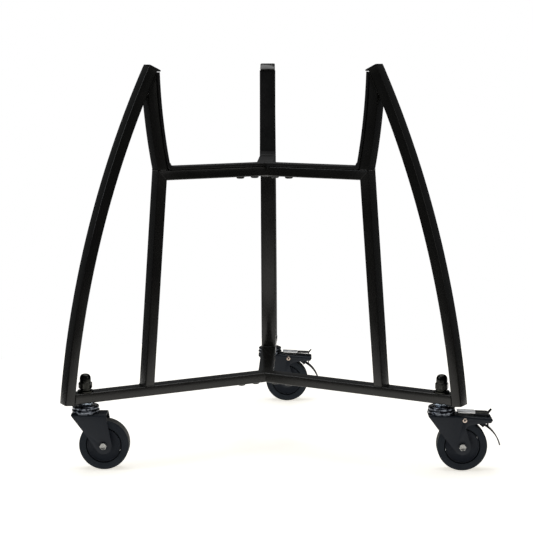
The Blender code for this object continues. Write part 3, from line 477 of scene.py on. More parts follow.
def make_rails(side):
    rail(side, "lower_rail", RAIL_LOW, RAIL_TOP,
         (lower_rail_end(RAIL_LOW), lower_rail_end(RAIL_TOP)))
    rail(side, "upper_rail", CRADLE_LOW, CRADLE_TOP,
         (upright_face(CRADLE_LOW, TUBE_D) - MITRE, upright_face(CRADLE_TOP) - MITRE))


def make_leg(side):
    tube(side, "leg", [(on_circle(LEG, t, 0.0), on_circle(LEG, t, TUBE_D)) for t in parts(72)])


def make_upright(side):
    low = RAIL_TOP + GAP
    first = (Vector((upright_face(low), low)), Vector((upright_face(low, TUBE_D), low)))
    last = (Vector((upright_face(CRADLE_TOP) + MITRE, CRADLE_TOP - GAP)),
            Vector((upright_face(CRADLE_LOW, TUBE_D), CRADLE_LOW - GAP)))
    tube(side, "upright", [(first[0].lerp(last[0], t), first[1].lerp(last[1], t))
                           for t in parts(12)])


def beyond_leg(point):
    """How far a panel point is outside the leg's inner face."""
    centre, radius, _, _ = LEG
    return (point - centre).length - (radius - TUBE_D - GAP)


def trimmed(outer, inner, thinnest):
    """Cuts a station's outer end back to the leg's inner face."""
    if beyond_leg(outer) <= 0:
        return outer, inner
    if beyond_leg(inner) > -thinnest:
        return None
    a, b = 0.0, 1.0
    for _ in range(30):
        mid = (a + b) / 2
        if beyond_leg(outer.lerp(inner, mid)) > 0:
            a = mid
        else:
            b = mid
    return outer.lerp(inner, b), inner


def top_end():
    """Plane of the leg's cut end: a point on it and its upward direction."""
    corner = on_circle(LEG, 1.0, TUBE_D)
    last = LEG[3]
    return corner, Vector((-math.sin(last), math.cos(last)))


def below_top(point):
    corner, up = top_end()
    return (point - corner).dot(up) <= -GAP / 2


def make_arm(side):
    stations = []
    for t in parts(40):
        outer, inner = on_circle(ARM, t, 0.0), on_circle(ARM, t, TUBE_D)
        if t == 0:
            inner = Vector((inner.x, outer.y))
        cut = trimmed(outer, inner, 1.2 * MM)
        if cut is None or not below_top(cut[1]):
            break
        stations.append(cut)
    tube(side, "arm", stations, hollow=False)


def make_liner(side):
    """Along the rail's top, round the bend and up the arm, as one bent strip."""
    low = CRADLE_TOP + GAP
    high = low + LINER_T
    back_depth = TUBE_D + GAP
    face_depth = back_depth + LINER_T
    corner_r = 6.5 * MM
    backs, faces = [], []
    span = ARM[3] - ARM[2]

    def arm_at(depth, z):
        return (math.asin((z - ARM[0].y) / (ARM[1] - depth)) - ARM[2]) / span

    bend_r = on_circle(ARM, arm_at(face_depth, high), face_depth).x - corner_r * 1.02
    for k in range(11):
        r = bend_r * k / 10
        backs.append(Vector((r, low)))
        faces.append(Vector((r, high)))
    centre = Vector((bend_r, high + corner_r))
    up_t = arm_at(face_depth, high + corner_r)
    steps = 8
    for k in range(1, steps):
        a = math.radians(-90 + 87 * k / steps)
        faces.append(centre + Vector((math.cos(a), math.sin(a))) * corner_r)
        back_far = on_circle(ARM, arm_at(back_depth, low), back_depth)
        t = k / steps
        if t < 0.5:
            backs.append(Vector((bend_r + (back_far.x - bend_r) * t * 2, low)))
        else:
            z = low + (high + corner_r - low) * (t - 0.5) * 2
            backs.append(on_circle(ARM, max(arm_at(back_depth, z), 0.0), back_depth))
    count = 120
    for k in range(count + 8):
        t = up_t + (1.0 - up_t) * k / count
        back, face = on_circle(ARM, t, back_depth), on_circle(ARM, t, face_depth)
        if beyond_leg(back) > 0:
            cut = trimmed(back, face, 0.4 * MM)
            if cut is None:
                break
            back = cut[0]
        if not (below_top(face) and below_top(back)):
            break
        backs.append(back)
        faces.append(face)

    def shape(k, n, r, z):
        return hub_cut(k, n, r, z) if k <= 3 else (r, z)

    sweep(side + "_rubber_liner", side + "_liner", side, list(zip(backs, faces)), LINER_W,
          1.1 * MM, LINER, "rubber", shape=shape)


def soft_plate(name, place, start, end, up, width, radius, levels, *look, **more):
    """A flat plate between two points, rounded in plan, at levels of (lift, inset)."""
    along = end - start
    rings = []
    for lift, inset in levels:
        ring = []
        for n, s in rounded_section(width - 2 * inset, along.length - 2 * inset, radius):
            p = start + along.normalized() * (s + inset) + up * lift
            ring.append(place(p.x, n, p.y))
        rings.append(ring)
    bm = bmesh.new()
    loft(bm, rings)
    finish_mesh(name, bm, *look, **more)


def make_cap(side):
    """Flat plate with softened edges over the leg's end."""
    corner, up = top_end()
    inward = (corner - on_circle(LEG, 1.0, 0.0)).normalized()
    soft = 0.7 * MM
    edge = ((0.0, soft), (soft * 0.3, soft * 0.3), (soft, 0.0))
    levels = [(GAP + lift, inset) for lift, inset in edge]
    levels += [(GAP + CAP_T - lift, inset) for lift, inset in reversed(edge)]
    soft_plate(side + "_cap_plate", PLACES[side], corner - inward * TUBE_D,
               corner + inward * (LINER_T + GAP), up, TUBE_W, 2.2 * MM, levels, COAT, "frame",
               "black_paint", (side + "_top_cap",))


# ---- weld beads
def bead(name, points, radius, seed):
    """A rippled weld bead along points, its thickness wandering a little by noise."""
    dense = []
    for a, b in zip(points, points[1:]):
        steps = max(1, int((b - a).length / (0.55 * MM)))
        dense += [a.lerp(b, k / steps) for k in range(steps)]
    dense.append(points[-1])
    rings = []
    travelled = 0.0
    last = len(dense) - 1
    for k, p in enumerate(dense):
        along = (dense[min(k + 2, last)] - dense[max(k - 2, 0)]).normalized()
        side = along.orthogonal() if abs(along.z) > 0.9 else along.cross(Vector((0, 0, 1)))
        side.normalize()
        up = side.cross(along).normalized()
        travelled += (p - dense[k - 1]).length if k else 0.0
        ripple = 0.86 + 0.14 * abs(math.sin(travelled / (1.9 * MM) * math.pi))
        wander = 1.0 + 0.16 * noise.noise(Vector((travelled * 260.0, seed, 0.0)))
        taper = min(1.0, 0.35 + min(k, last - k) / 3.0)
        r = radius * ripple * wander * taper
        rings.append([p + (side * math.cos(a) + up * math.sin(a)) * r
                      for a in [math.tau * i / 8 for i in range(8)]])
    bm = bmesh.new()
    loft(bm, rings)
    finish_mesh(name, bm, WELD, "frame", "black_paint", sharp=70.0)


def make_welds(side):
    place = PLACES[side]
    half = TUBE_W / 2
    edge = half - CORNER * 0.9
    index = list(SIDES).index(side)

    def across(tag, r, z, radius, seed):
        """A bead over the tube's width, its radius in mm."""
        bead(f"{side}_weld_{tag}", [place(r, n, z) for n in (-edge, edge)], radius * MM,
             seed=index + seed)

    def both_sides(tag, line, inset, radius, seed):
        """A bead along (r, z) points on either side of the panel, sunk by an inset in mm."""
        for where, n in (("near", half - inset * MM), ("far", -half + inset * MM)):
            bead(f"{side}_weld_{tag}_{where}", [place(r, n, z) for r, z in line], radius * MM,
                 seed=index + seed)

    # round the foot of the upright
    z = RAIL_TOP + 0.2 * MM
    out_r, in_r = upright_face(z) + 0.2 * MM, upright_face(z, TUBE_D) - 0.2 * MM
    across("upright_outer", out_r, z, 1.3, 0.1)
    across("upright_inner", in_r, z, 1.3, 0.1)
    both_sides("upright", [(in_r + CORNER, z), (out_r - CORNER, z)], 0.2, 1.0, 0.3)
    # the rail's end on the leg
    both_sides("foot", [(lower_rail_end(h) + 0.1 * MM, h) for h in
                        (RAIL_LOW + CORNER, (RAIL_LOW + RAIL_TOP) / 2, RAIL_TOP - CORNER)],
               0.1, 0.9, 0.5)
    across("foot_top", lower_rail_end(RAIL_TOP) + 0.1 * MM, RAIL_TOP + 0.1 * MM, 1.2, 0.7)
    # round the base of the arm
    z = CRADLE_TOP + 0.2 * MM
    out_r = upright_face(z) + 0.1 * MM
    across("arm_outer", out_r, z, 1.3, 0.9)
    both_sides("arm", [(out_r - TUBE_D + CORNER, z), (out_r - CORNER, z)], 0.1, 0.9, 1.1)
    # the mitre between upright and rail
    a = Vector((upright_face(CRADLE_LOW, TUBE_D), CRADLE_LOW))
    b = Vector((upright_face(CRADLE_TOP), CRADLE_TOP))
    both_sides("mitre", [a.lerp(b, 0.12), b.lerp(a, 0.12)], 0.25, 0.7, 1.3)
    # the seam between arm and leg, from where the arm's outer face comes up to the leg
    for k in range(41):
        p = on_circle(ARM, 0.5 + 0.5 * k / 40, 0.0)
        if beyond_leg(p) > -0.4 * MM:
            break
    seam = []
    for k in range(13):
        z = p.y + k * 3.6 * MM
        point = Vector((lower_rail_end(z) + GAP, z))
        if not below_top(point + Vector((0, 2 * MM))):
            break
        seam.append(point)
    both_sides("crotch", seam, 0.2, 0.9, 1.7)
    across("crotch_below", seam[0].x - 0.3 * MM, seam[0].y - 1.0 * MM, 1.5, 1.9)


def make_hub_welds():
    """Vertical seams where two rails meet in each corner of a hub."""
    r = TUBE_W / 2 / math.sin(math.radians(60)) - 0.72 * MM
    for level, low, high in (("lower", RAIL_LOW, RAIL_TOP), ("upper", CRADLE_LOW, CRADLE_TOP)):
        for k, degrees in enumerate((30.0, 150.0, 270.0)):
            a = math.radians(degrees)
            x, y = HUB.x + r * math.cos(a), HUB.y + r * math.sin(a)
            ends = [Vector((x, y, z)) for z in (low + 2 * MM, high - 2 * MM)]
            bead(f"{level}_hub_weld_{k}", ends, 0.8 * MM, seed=k + 3.1)


# ---- turned and pressed pieces
def turned(name, profile, origin, axis, steps, material, body, slot, replaces=(), closed=False,
           sharp=38.0, wobble=None):
    """Turns a profile of (radius, height) about an axis ('Z' or 'Y', height towards +axis)."""
    bm = bmesh.new()
    rows = []
    for k in range(steps):
        a = math.tau * k / steps
        row = []
        for r, h in profile:
            if wobble:
                r, h = wobble(a, r, h)
            if axis == 'Z':
                p = Vector((r * math.cos(a), r * math.sin(a), h))
            else:
                p = Vector((r * math.sin(a), h, r * math.cos(a)))
            row.append(bm.verts.new(origin + p))
        rows.append(row)
    count = len(profile)
    last = count if closed else count - 1
    for k in range(steps):
        a, b = rows[k], rows[(k + 1) % steps]
        for i in range(last):
            j = (i + 1) % count
            quad = []
            for v in (a[i], a[j], b[j], b[i]):
                if not any((v.co - q.co).length < 1e-7 for q in quad):
                    quad.append(v)
            if len(quad) > 2:
                bm.faces.new(quad)
    return finish_mesh(name, bm, material, body, slot, replaces, sharp)


def hex_profile(flats, angle):
    """Radius of a hexagon with flats on both sides of X, in a direction."""
    a = (angle + math.radians(30)) % math.radians(60) - math.radians(30)
    return flats / 2 / math.cos(a)


def evaluated(obj):
    """Applies an object's modifiers and gives the mesh back as a bmesh; the object is removed."""
    bpy.context.view_layer.update()
    graph = bpy.context.evaluated_depsgraph_get()
    mesh = bpy.data.meshes.new_from_object(obj.evaluated_get(graph))
    bm = bmesh.new()
    bm.from_mesh(mesh)
    bm.transform(obj.matrix_world)
    bpy.data.meshes.remove(mesh)
    bpy.data.objects.remove(obj, do_unlink=True)
    return bm


def plain_object(name, bm):
    bmesh.ops.recalc_face_normals(bm, faces=bm.faces)
    return object_of(name, bm)


def prism(name, outline, low, high, origin, upright=True):
    """A prism of an (x, z) outline across y, or of an (x, y) outline along z."""
    bm = bmesh.new()
    loft(bm, [[origin + Vector((x, level, z) if upright else (x, z, level)) for x, z in outline]
              for level in (low, high)])
    return plain_object(name, bm)


def cut(obj, tool, operation='DIFFERENCE'):
    modifier = obj.modifiers.new(tool.name, 'BOOLEAN')
    modifier.operation = operation
    modifier.solver = 'EXACT'
    modifier.object = tool
    return tool


def built(obj, tools, bevel, angle):
    """The bmesh of an object after its Booleans and a small bevel; tools are removed."""
    modifier = obj.modifiers.new("soft_edges", 'BEVEL')
    modifier.width = bevel
    modifier.segments = 2
    modifier.limit_method = 'ANGLE'
    modifier.angle_limit = math.radians(angle)
    modifier.harden_normals = False
    bm = evaluated(obj)
    for tool in tools:
        bpy.data.objects.remove(tool, do_unlink=True)
    return bm


def rod(name, radius, low, high, origin, axis='Y'):
    """A plain cylinder used as a tool."""
    bm = bmesh.new()
    loft(bm, [ring_at(origin, radius, h, 32, axis) for h in (low, high)])
    return plain_object(name, bm)


# ---- hub bolts
def make_hub_bolts():
    """Button-head bolts from below, two in each rail of a hub; the outer one is the CAD's."""
    head, tall, socket, shoulder = 6.5 * MM, 3.2 * MM, 3.6 * MM, 0.9 * MM
    profile = [(0.0, 9 * MM), (3 * MM, 9 * MM), (3 * MM, 0.0), (head - 0.2 * MM, 0.0),
               (head, -0.25 * MM), (head, -shoulder)]
    for k in range(1, 7):
        a = math.radians(90 * k / 7)
        profile.append((socket + (head - socket) * math.cos(a),
                        -shoulder - (tall - shoulder) * math.sin(a)))
    profile += [(socket, -tall), (socket - 0.25 * MM, -tall + 0.2 * MM),
                (socket - 0.3 * MM, -tall + 1.9 * MM), (0.0, -tall + 2.3 * MM)]

    def six(a, r, h):
        """Makes the round wall of the socket a hexagon."""
        if 0 < r <= socket and h < -0.3 * MM:
            return r * hex_profile(2.0, a) / (2 / math.sqrt(3)), h
        return r, h

    for level, low in (("lower", RAIL_LOW), ("upper", CRADLE_LOW)):
        for side in SIDES:
            for tag, r in (("", HUB_BOLT_R), ("inner_", INNER_BOLT_R)):
                turned(f"{level}_{side}_{tag}button_bolt", profile,
                       PLACES[side](r, 0.0, low - GAP), 'Z', 36, BLACK_OXIDE, "frame",
                       "black_steel", () if tag else (f"{level}_{side}_bolt",), wobble=six)


# ---- casters
def make_stem(side, at):
    """Stud, hexagonal collar, the upper race of the swivel and the kingpin."""
    top = RAIL_TOP + 2 * GAP + WASHER_T + 12 * MM
    collar_top = RAIL_LOW - GAP
    high = collar_top - COLLAR_H
    turned(side + "_stud", stud_profile(top, high - 0.5 * MM), at, 'Z', 40, BLUE_ZINC,
           "frame", "zinc", (side + "_stem",))

    def collar(soft):
        """Radius by angle of the collar's hexagon with its points turned off."""
        return lambda a: min(hex_profile(COLLAR_FLATS, a + math.radians(12)),
                             COLLAR_FLATS / 2 * 1.10 - soft * MM)

    bm = bmesh.new()
    loft(bm, [ring_at(at, collar(soft), h, 72) for h, soft in
              ((high, 0.4), (high + 0.4 * MM, 0.0), (collar_top - 0.5 * MM, 0.0),
               (collar_top, 0.5))])
    finish_mesh(side + "_hex_collar", bm, BLUE_ZINC, "frame", "zinc", sharp=25.0)
    low = high - RACE_H
    profile = [(UPPER_RACE_R * part, high - drop * MM) for part, drop in
               ((0, 0), (0.72, 0), (0.80, 0.15), (0.90, 0.9), (0.965, 1.5), (0.995, 2.3),
                (1, 3.2))]
    profile += [(UPPER_RACE_R * part, low + lift * MM) for part, lift in
                ((1, 1.2), (0.985, 0.5), (0.95, 0.15), (0.90, 0), (0.60, 0), (0.55, -0.2),
                 (0, -0.2))]
    turned(side + "_upper_race", profile, at, 'Z', 72, RACE_PLATE, "frame", "zinc")
    pin = FORK_TOP - FORK_PLATE - GAP
    profile = [(0.0, low), (5 * MM, low)]
    profile += [(r * MM, pin - drop * MM) for r, drop in
                ((5, 0), (7.6, 0), (8, 0.4), (7.4, 1.4), (5.5, 2), (1.6, 2), (1.2, 1.4), (0, 1.2))]
    turned(side + "_kingpin", profile, at, 'Z', 40, BARE, "frame", "zinc")


def stud_profile(top, low):
    """Threaded stud: shallow V rings at the thread's pitch above the rail."""
    profile = [(0.0, top), (STUD_R - 1.2 * MM, top), (STUD_R - 0.2 * MM, top - 1 * MM)]
    z = top - 1.2 * MM
    while z - PITCH > RAIL_LOW + 1 * MM:
        profile += [(STUD_R, z - PITCH * 0.25),
                    (STUD_R - 0.7 * MM, z - PITCH * 0.75)]
        z -= PITCH
    profile += [(STUD_R, RAIL_LOW), (STUD_R, low), (0.0, low)]
    return profile


def make_nut(side, at):
    """Washer, and a cap nut with chamfered flats and a domed cap."""
    low = RAIL_TOP + GAP
    high = low + WASHER_T
    soft = 0.45 * MM
    profile = [(NUT_BORE_R, high - 0.2 * MM), (NUT_BORE_R + 0.2 * MM, high),
               (WASHER_R - soft, high), (WASHER_R - soft * 0.3, high - soft * 0.3),
               (WASHER_R, high - soft),
               (WASHER_R, low + soft), (WASHER_R - soft * 0.3, low + soft * 0.3),
               (WASHER_R - soft, low), (NUT_BORE_R, low)]
    turned(side + "_flat_washer", profile, at, 'Z', 64, DARK_PLATE, "frame", "dark_zinc",
           (side + "_washer",), closed=True)
    seat = high + GAP
    hex_top = seat + NUT_HEX_H
    rise = NUT_H - NUT_HEX_H

    def chamfered(h):
        """Radius by angle of the hexagon under both chamfer cones at a height."""
        up = (hex_top - h) * math.tan(math.radians(62)) + NUT_FLATS / 2 * 0.96
        down = max(h - seat - 2.6 * MM, 0.0) * 1.5 + NUT_FLATS / 2 * 0.95
        limit = min(up, down, NUT_FLATS / math.cos(math.pi / 6) / 2)
        return lambda a: min(hex_profile(NUT_FLATS, a + math.radians(17)), limit)

    levels = [(NUT_BORE_R, seat + 13 * MM), (NUT_BORE_R, seat + 0.6 * MM),
              (NUT_BORE_R + 0.6 * MM, seat)]
    levels += [(chamfered(h), h) for h in [seat + lift * MM for lift in (0, 2.6, 3.2, 3.8)]
               + [hex_top - drop * MM for drop in (1.6, 1.1, 0.7, 0.3, 0)]]
    levels += [(NUT_DOME_R + 0.5 * MM, hex_top), (NUT_DOME_R, hex_top + 0.5 * MM),
               (NUT_DOME_R, hex_top + rise * 0.35)]
    angles = [math.radians(90 * k / 10.5) for k in range(1, 11)]
    levels += [(NUT_DOME_R * math.cos(a) ** 0.6,
                hex_top + rise * (0.35 + 0.65 * math.sin(a) / math.sin(angles[-1])))
               for a in angles]
    bm = bmesh.new()
    loft(bm, [ring_at(at, r, h, 72) for r, h in levels])
    finish_mesh(side + "_domed_nut", bm, DARK_PLATE, "frame", "dark_zinc", (side + "_cap_nut",),
                sharp=28.0)


def tangent(centre, point, radius, right):
    away = point - centre
    half = math.acos(radius / away.length)
    base = math.atan2(away.y, away.x)
    return base - half if right else (base + half) % math.tau


def fork_outline(side):
    """The fork's side view, X behind the swivel axis."""
    foot = Vector((TRAIL[side], WHEEL_R))
    radius = 12.8 * MM
    nose = Vector((-21 * MM, FORK_TOP - FORK_PLATE))
    if side in BRAKED:
        end = HOUSING_END
        end_top = HOUSING_LOW
        end_low = end_top - 6.8 * MM
        back = [(21.0 * MM, FORK_TOP), (21.5 * MM, HOUSING_START)]
        soft = 2.5 * MM
        back += [(end - soft + soft * math.sin(a), end_top - soft + soft * math.cos(a))
                 for a in [math.radians(30 * k) for k in range(6)]]
        back += [(end - soft, end_low), (foot.x + 23.6 * MM, end_low - 1.6 * MM)]
        knee = (foot.x + 5.0 * MM, 2 * WHEEL_R - 10.5 * MM)
        corner = (foot.x + 13.5 * MM, end_low - 3.2 * MM)
        back += [corner]
        back += smooth_corner(corner, (foot.x + 6.4 * MM, end_low - 4.8 * MM), knee, 5)
    else:
        knee = (34.2 * MM, FORK_TOP - 8 * MM)
        back = [(31.5 * MM, FORK_TOP), (33.0 * MM, FORK_TOP - 1.0 * MM), knee]
    first = tangent(foot, Vector(knee), radius, True)
    last = tangent(foot, nose, radius, False) - math.tau
    round_foot = [(foot.x + radius * math.cos(a), foot.y + radius * math.sin(a))
                  for a in [first + (last - first) * k / 20 for k in range(21)]]
    waist = Vector((4.6 * MM, 51.5 * MM))
    front = [tuple(Vector(round_foot[-1]).lerp(waist, 0.5)), tuple(waist)]
    front += [tuple(waist.lerp(nose, t)) for t in (0.35, 0.7)]
    return [(-21 * MM, FORK_TOP)] + back + round_foot + front + [tuple(nose)]


def smooth_corner(a, b, c, steps):
    """Points of a quadratic curve from a to c that bends towards b, without its first."""
    a, b, c = Vector(a), Vector(b), Vector(c)
    return [tuple(a * (1 - t) ** 2 + b * 2 * t * (1 - t) + c * t * t)
            for t in parts(steps)[1:]]


def bar_section(half, high, radius):
    """(y, z) outline of an inverted channel's outside: rounded upper edges."""
    points = [(-half, -0.03), (half, -0.03)]
    for middle, start in ((half - radius, 0), (-half + radius, 90)):
        for k in range(6):
            a = math.radians(start + 90 * k / 5)
            points.append((middle + radius * math.cos(a), high - radius + radius * math.sin(a)))
    return points


def bar(name, stations, half, radius, origin):
    """A bar along X whose top follows (x, height) stations, with rounded upper edges."""
    bm = bmesh.new()
    loft(bm, [[origin + Vector((x, y, z)) for y, z in bar_section(half, high, radius)]
              for x, high in stations])
    return plain_object(name, bm)


def fork_tops(side, drop):
    """Height of the fork's top along X, lowered by a depth."""
    tops = [(-0.05, FORK_TOP), (0.05, FORK_TOP), (0.12, FORK_TOP)]
    if side in BRAKED:
        tops = [(-0.05, FORK_TOP), (21.0 * MM - drop * 0.5, FORK_TOP),
                (21.5 * MM - drop * 0.5, HOUSING_START), (HOUSING_END, HOUSING_LOW),
                (0.12, HOUSING_LOW - 5 * MM)]
    return [(x, z - drop) for x, z in tops]


def make_fork(side, at, body):
    """Pressed steel fork with bent edges, and the lower race on it."""
    half = FORK_HALF
    name = side + "_pressed_fork"
    fork = prism(name + "_blank", fork_outline(side), -half, half, at)
    tools = [cut(fork, bar("outer_bar", fork_tops(side, 0.0), half, 3.2 * MM, at), 'INTERSECT')]
    inner = fork_tops(side, FORK_PLATE)
    if side in BRAKED:
        end = HOUSING_END - FORK_PLATE
        (start_x, start_z), (end_x, end_z) = inner[2:4]
        high = start_z + (end_z - start_z) * (end - start_x) / (end_x - start_x)
        inner = inner[:3] + [(end, high)]
    tools.append(cut(fork, bar("inner_bar", inner, half - FORK_PLATE, 1.2 * MM, at)))
    axle = at + Vector((TRAIL[side], 0, WHEEL_R))
    tools.append(cut(fork, rod("axle_hole", 3.3 * MM, -FAR, FAR, axle)))
    tools.append(cut(fork, rod("kingpin_hole", 5.3 * MM, FORK_TOP - 0.01, FORK_TOP + 0.01, at,
                               'Z')))
    if side in BRAKED:
        pivot = at + Vector((PIVOT.x, 0, PIVOT.y))
        tools.append(cut(fork, rod("pivot_hole", 2.1 * MM, -FAR, FAR, pivot)))
        slot = [(RELEASE_X + x * MM, y * MM)
                for x, y in ((-2.9, -4.6), (2.9, -4.6), (2.9, 4.6), (-2.9, 4.6))]
        tools.append(cut(fork, prism("slot", slot, 0.06, 0.10, at, upright=False)))
    bm = built(fork, tools, 0.45 * MM, 32.0)
    finish_mesh(name, bm, PAINT, body, "caster_paint", (side + "_fork",), sharp=35.0)
    race = LOWER_RACE_R
    low, high = FORK_TOP + 0.05 * MM, FORK_TOP + RACE_H
    profile = [(5.4 * MM, high - 0.4 * MM), (5.8 * MM, high)]
    profile += [(race * part, high - drop * MM) for part, drop in
                ((0.90, 0), (0.955, 0.2), (0.985, 0.7), (1, 1.6), (1, 3.0), (0.992, 3.7),
                 (0.965, 4.3), (0.955, 4.7))]
    profile += [(race * 0.965, low + 0.6 * MM), (race * 0.95, low), (5.4 * MM, low)]
    turned(side + "_lower_race", profile, at, 'Z', 72, RACE_PLATE, body, "zinc", closed=True)


def make_wheel(side, axle, body):
    """Tyre, a band round its tread painted paler as a painted highlight, and the moulded disc
    inside.
    """
    half = WHEEL_W / 2
    bore = 26.2 * MM
    lip = bore + 1.6 * MM
    upper = [(bore, half - 6.0 * MM), (lip - 0.1 * MM, half - 6.0 * MM), (lip, half - 0.5 * MM),
             (lip + 0.15 * MM, half - 0.1 * MM), (lip + 0.5 * MM, half)]
    upper += [(WHEEL_R - inset * MM, half - drop * MM) for inset, drop in
              ((1.9, 0), (1.5, 0.06), (0.95, 0.3), (0.45, 0.75), (0.15, 1.4), (0.03, 2.2),
               (0, 3.2), (0, 9.0), (0.25, 9.3), (0, 9.6))]
    turned(side + "_tyre_ring", mirrored(upper), axle, 'Y', 128, TREAD, body, "caster_rubber",
           (side + "_tyre",), closed=True, sharp=50.0)
    # painted highlight: a paler band round the running surface of the tyre
    highlight_half = half - 3.6 * MM
    upper = [(WHEEL_R + rise * MM, highlight_half - drop * MM)
             for rise, drop in ((-0.4, 0), (-0.03, 0), (0.05, 0.3))]
    turned(side + "_tread_band", mirrored(upper), axle, 'Y', 128, TREAD_HIGHLIGHT_PAINT, body,
           "caster_rubber", closed=True, sharp=50.0)
    core = 25.9 * MM
    face = 12 * MM
    upper = [(r * MM, h * MM) for r, h in
             ((3.3, 14.4), (5.6, 14.4), (6.0, 14.0), (6.5, 9.0), (7.4, 8.1), (9.0, 7.8))]
    upper += [((9.0 + 15.6 * t) * MM, 7.7 * MM + 3.6 * MM * t ** 2.2)
              for t in parts(12)[1:]]
    upper += [(24.9 * MM, face - 0.25 * MM), (25.2 * MM, face), (core - 0.3 * MM, face),
              (core - 0.05 * MM, face - 0.15 * MM), (core, face - 0.6 * MM)]
    turned(side + "_wheel_disc", mirrored(upper), axle, 'Y', 112, PLASTIC, body,
           "caster_plastic", (side + "_wheel_core",), closed=True, sharp=40.0)


def make_axle(side, axle, body):
    """Hexagon bolt with a dished head, and the lock nut behind."""
    outside = FORK_HALF + GAP

    def hexagon_in(limit):
        return lambda a: min(hex_profile(AXLE_FLATS, a + math.radians(22)), limit * MM)

    def rings(levels, sign, steps=72):
        """Rings along Y at levels of (radius, height over the fork in mm)."""
        return [ring_at(axle, r, sign * (outside + h * MM), steps, 'Y') for r, h in levels]

    bm = bmesh.new()
    levels = [(hexagon_in(limit), h) for h, limit in
              ((0, 4.95), (0.3, 5.4), (0.8, 9), (3.0, 9), (3.5, 5.45), (4.0, 4.7))]
    loft(bm, rings(levels + [(4.2 * MM, 4.0), (3.6 * MM, 3.75)], -1))
    loft(bm, rings([(AXLE_R, 6.2)], 1, 32) + rings([(AXLE_R, -0.01)], -1, 32))
    finish_mesh(side + "_hex_bolt", bm, BRIGHT, body, "bright_zinc", (side + "_axle_bolt",),
                sharp=24.0)
    bm = bmesh.new()
    levels = [(3.3 * MM, 5.0), (3.3 * MM, 0)]
    levels += [(hexagon_in(limit), h) for h, limit in
               ((0, 4.9), (0.3, 5.4), (0.7, 9), (3.4, 9), (3.8, 5.3), (4.0, 4.7), (4.9, 4.4),
                (5.0, 4.1))]
    loft(bm, rings(levels, 1), cap=False, closed=True)
    finish_mesh(side + "_lock_nut", bm, BRIGHT, body, "bright_zinc", (side + "_axle_nut",),
                sharp=24.0)


# ---- brakes
def pedal_line(count):
    """Side view of the pedal from its pivot to the tip, as one smooth curve."""
    tip = Vector((TRAIL["rear"] + WHEEL_R + 19.9 * MM, WHEEL_R))
    a = PIVOT + Vector((0.77, -0.09)) * WHEEL_R
    b = tip + Vector((-0.15, 0.61)) * WHEEL_R
    return [PIVOT * (1 - t) ** 3 + a * 3 * t * (1 - t) ** 2 + b * 3 * t * t * (1 - t)
            + tip * t ** 3 for t in parts(count)]


def beside(line, distance):
    """A line moved sideways, to the left of its direction."""
    out = []
    for k, p in enumerate(line):
        ahead = line[min(k + 1, len(line) - 1)] - line[max(k - 1, 0)]
        out.append(p + Vector((-ahead.y, ahead.x)).normalized() * distance)
    return out


def make_brake(side, at, body):
    """Thin stamped leaf, its release plate and dark pad over the housing, the friction shoe."""
    line = pedal_line(40)
    half = 0.9 * MM
    name = side + "_stamped_pedal"
    bm = bmesh.new()
    top, low = beside(line, half), beside(line, -half)
    rings = []
    for k, (a, b) in enumerate(zip(top, low)):
        width = 18 * MM - 7 * MM * max((k / 40 - 0.86) / 0.14, 0.0) ** 2
        ring = []
        for n, s in rounded_section(width, (b - a).length, 0.45 * MM, 2, middle=False):
            p = a + (b - a).normalized() * s
            ring.append(at + Vector((p.x, n, p.y)))
        rings.append(ring)
    loft(bm, rings)
    leaf = plain_object(name + "_leaf", bm)
    pivot = at + Vector((PIVOT.x, 0, PIVOT.y))
    tools = [cut(leaf, rod("eye", 2.9 * MM, -9 * MM, 9 * MM, pivot), 'UNION')]
    x = RELEASE_X
    root = min((abs(p.x - x), p.y) for p in line)[1]
    pad, tip = PIVOT.y + 8.2 * MM, PIVOT.y + 14.5 * MM
    end = x + 4.5 * MM
    tab = [(x - half, root), (x + half, root - half), (x + half, pad),
           (end + half, tip - 0.6 * MM),
           (end + half * 0.3, tip), (end - half * 0.6, tip - 0.3 * MM), (x - half, pad + half)]
    tools.append(cut(leaf, prism("tab", tab, -4 * MM, 4 * MM, at), 'UNION'))
    tools.append(cut(leaf, rod("eye_bore", 2.1 * MM, -FAR, FAR, pivot)))
    bm = built(leaf, tools, 0.25 * MM, 40.0)
    finish_mesh(name, bm, LEAF_METAL, body, "bright_zinc", (side + "_brake_pedal",), sharp=35.0)
    front = Vector((24.0 * MM, PIVOT.y + 10.3 * MM))
    back = Vector((x, pad))
    middle = back.lerp(front, 20 * MM / (x - front.x))
    release_plate(side + "_release_plate", at, body, front, middle, 22 * MM, PLATE_METAL)
    release_plate(side + "_release_pad", at, body, middle, back, 15 * MM, DARK_PLATE)
    axle = Vector((TRAIL[side], WHEEL_R))
    under = beside(pedal_line(36), -0.9 * MM - GAP)[9:16]
    spokes = [p - axle for p in under]
    first = math.atan2(spokes[-1].y, spokes[-1].x)
    last = math.atan2(spokes[0].y, spokes[0].x)
    face = [axle + Vector((math.cos(a), math.sin(a))) * (WHEEL_R + 3.85 * MM)
            for a in [first + (last - first) * k / 12 for k in range(13)]]
    shoe = prism(side + "_shoe_blank", under + face, -8 * MM, 8 * MM, at)
    bm = built(shoe, [], 0.35 * MM, 40.0)
    finish_mesh(side + "_friction_shoe", bm, LINER, body, "rubber", (side + "_brake_shoe",),
                sharp=35.0)


def release_plate(name, at, body, start, end, width, material):
    """Flat strip from one panel point to another, with rounded corners in plan."""
    thick = 1.8 * MM
    soft = 0.3 * MM
    soft_plate(name, lambda x, n, z: at + Vector((x, n, z)), start, end, Vector((0, 1)), width,
               2.5 * MM, ((0.0, soft), (soft, 0.0), (thick - soft, 0.0), (thick, soft)),
               material, body, "bright_zinc", sharp=35.0)


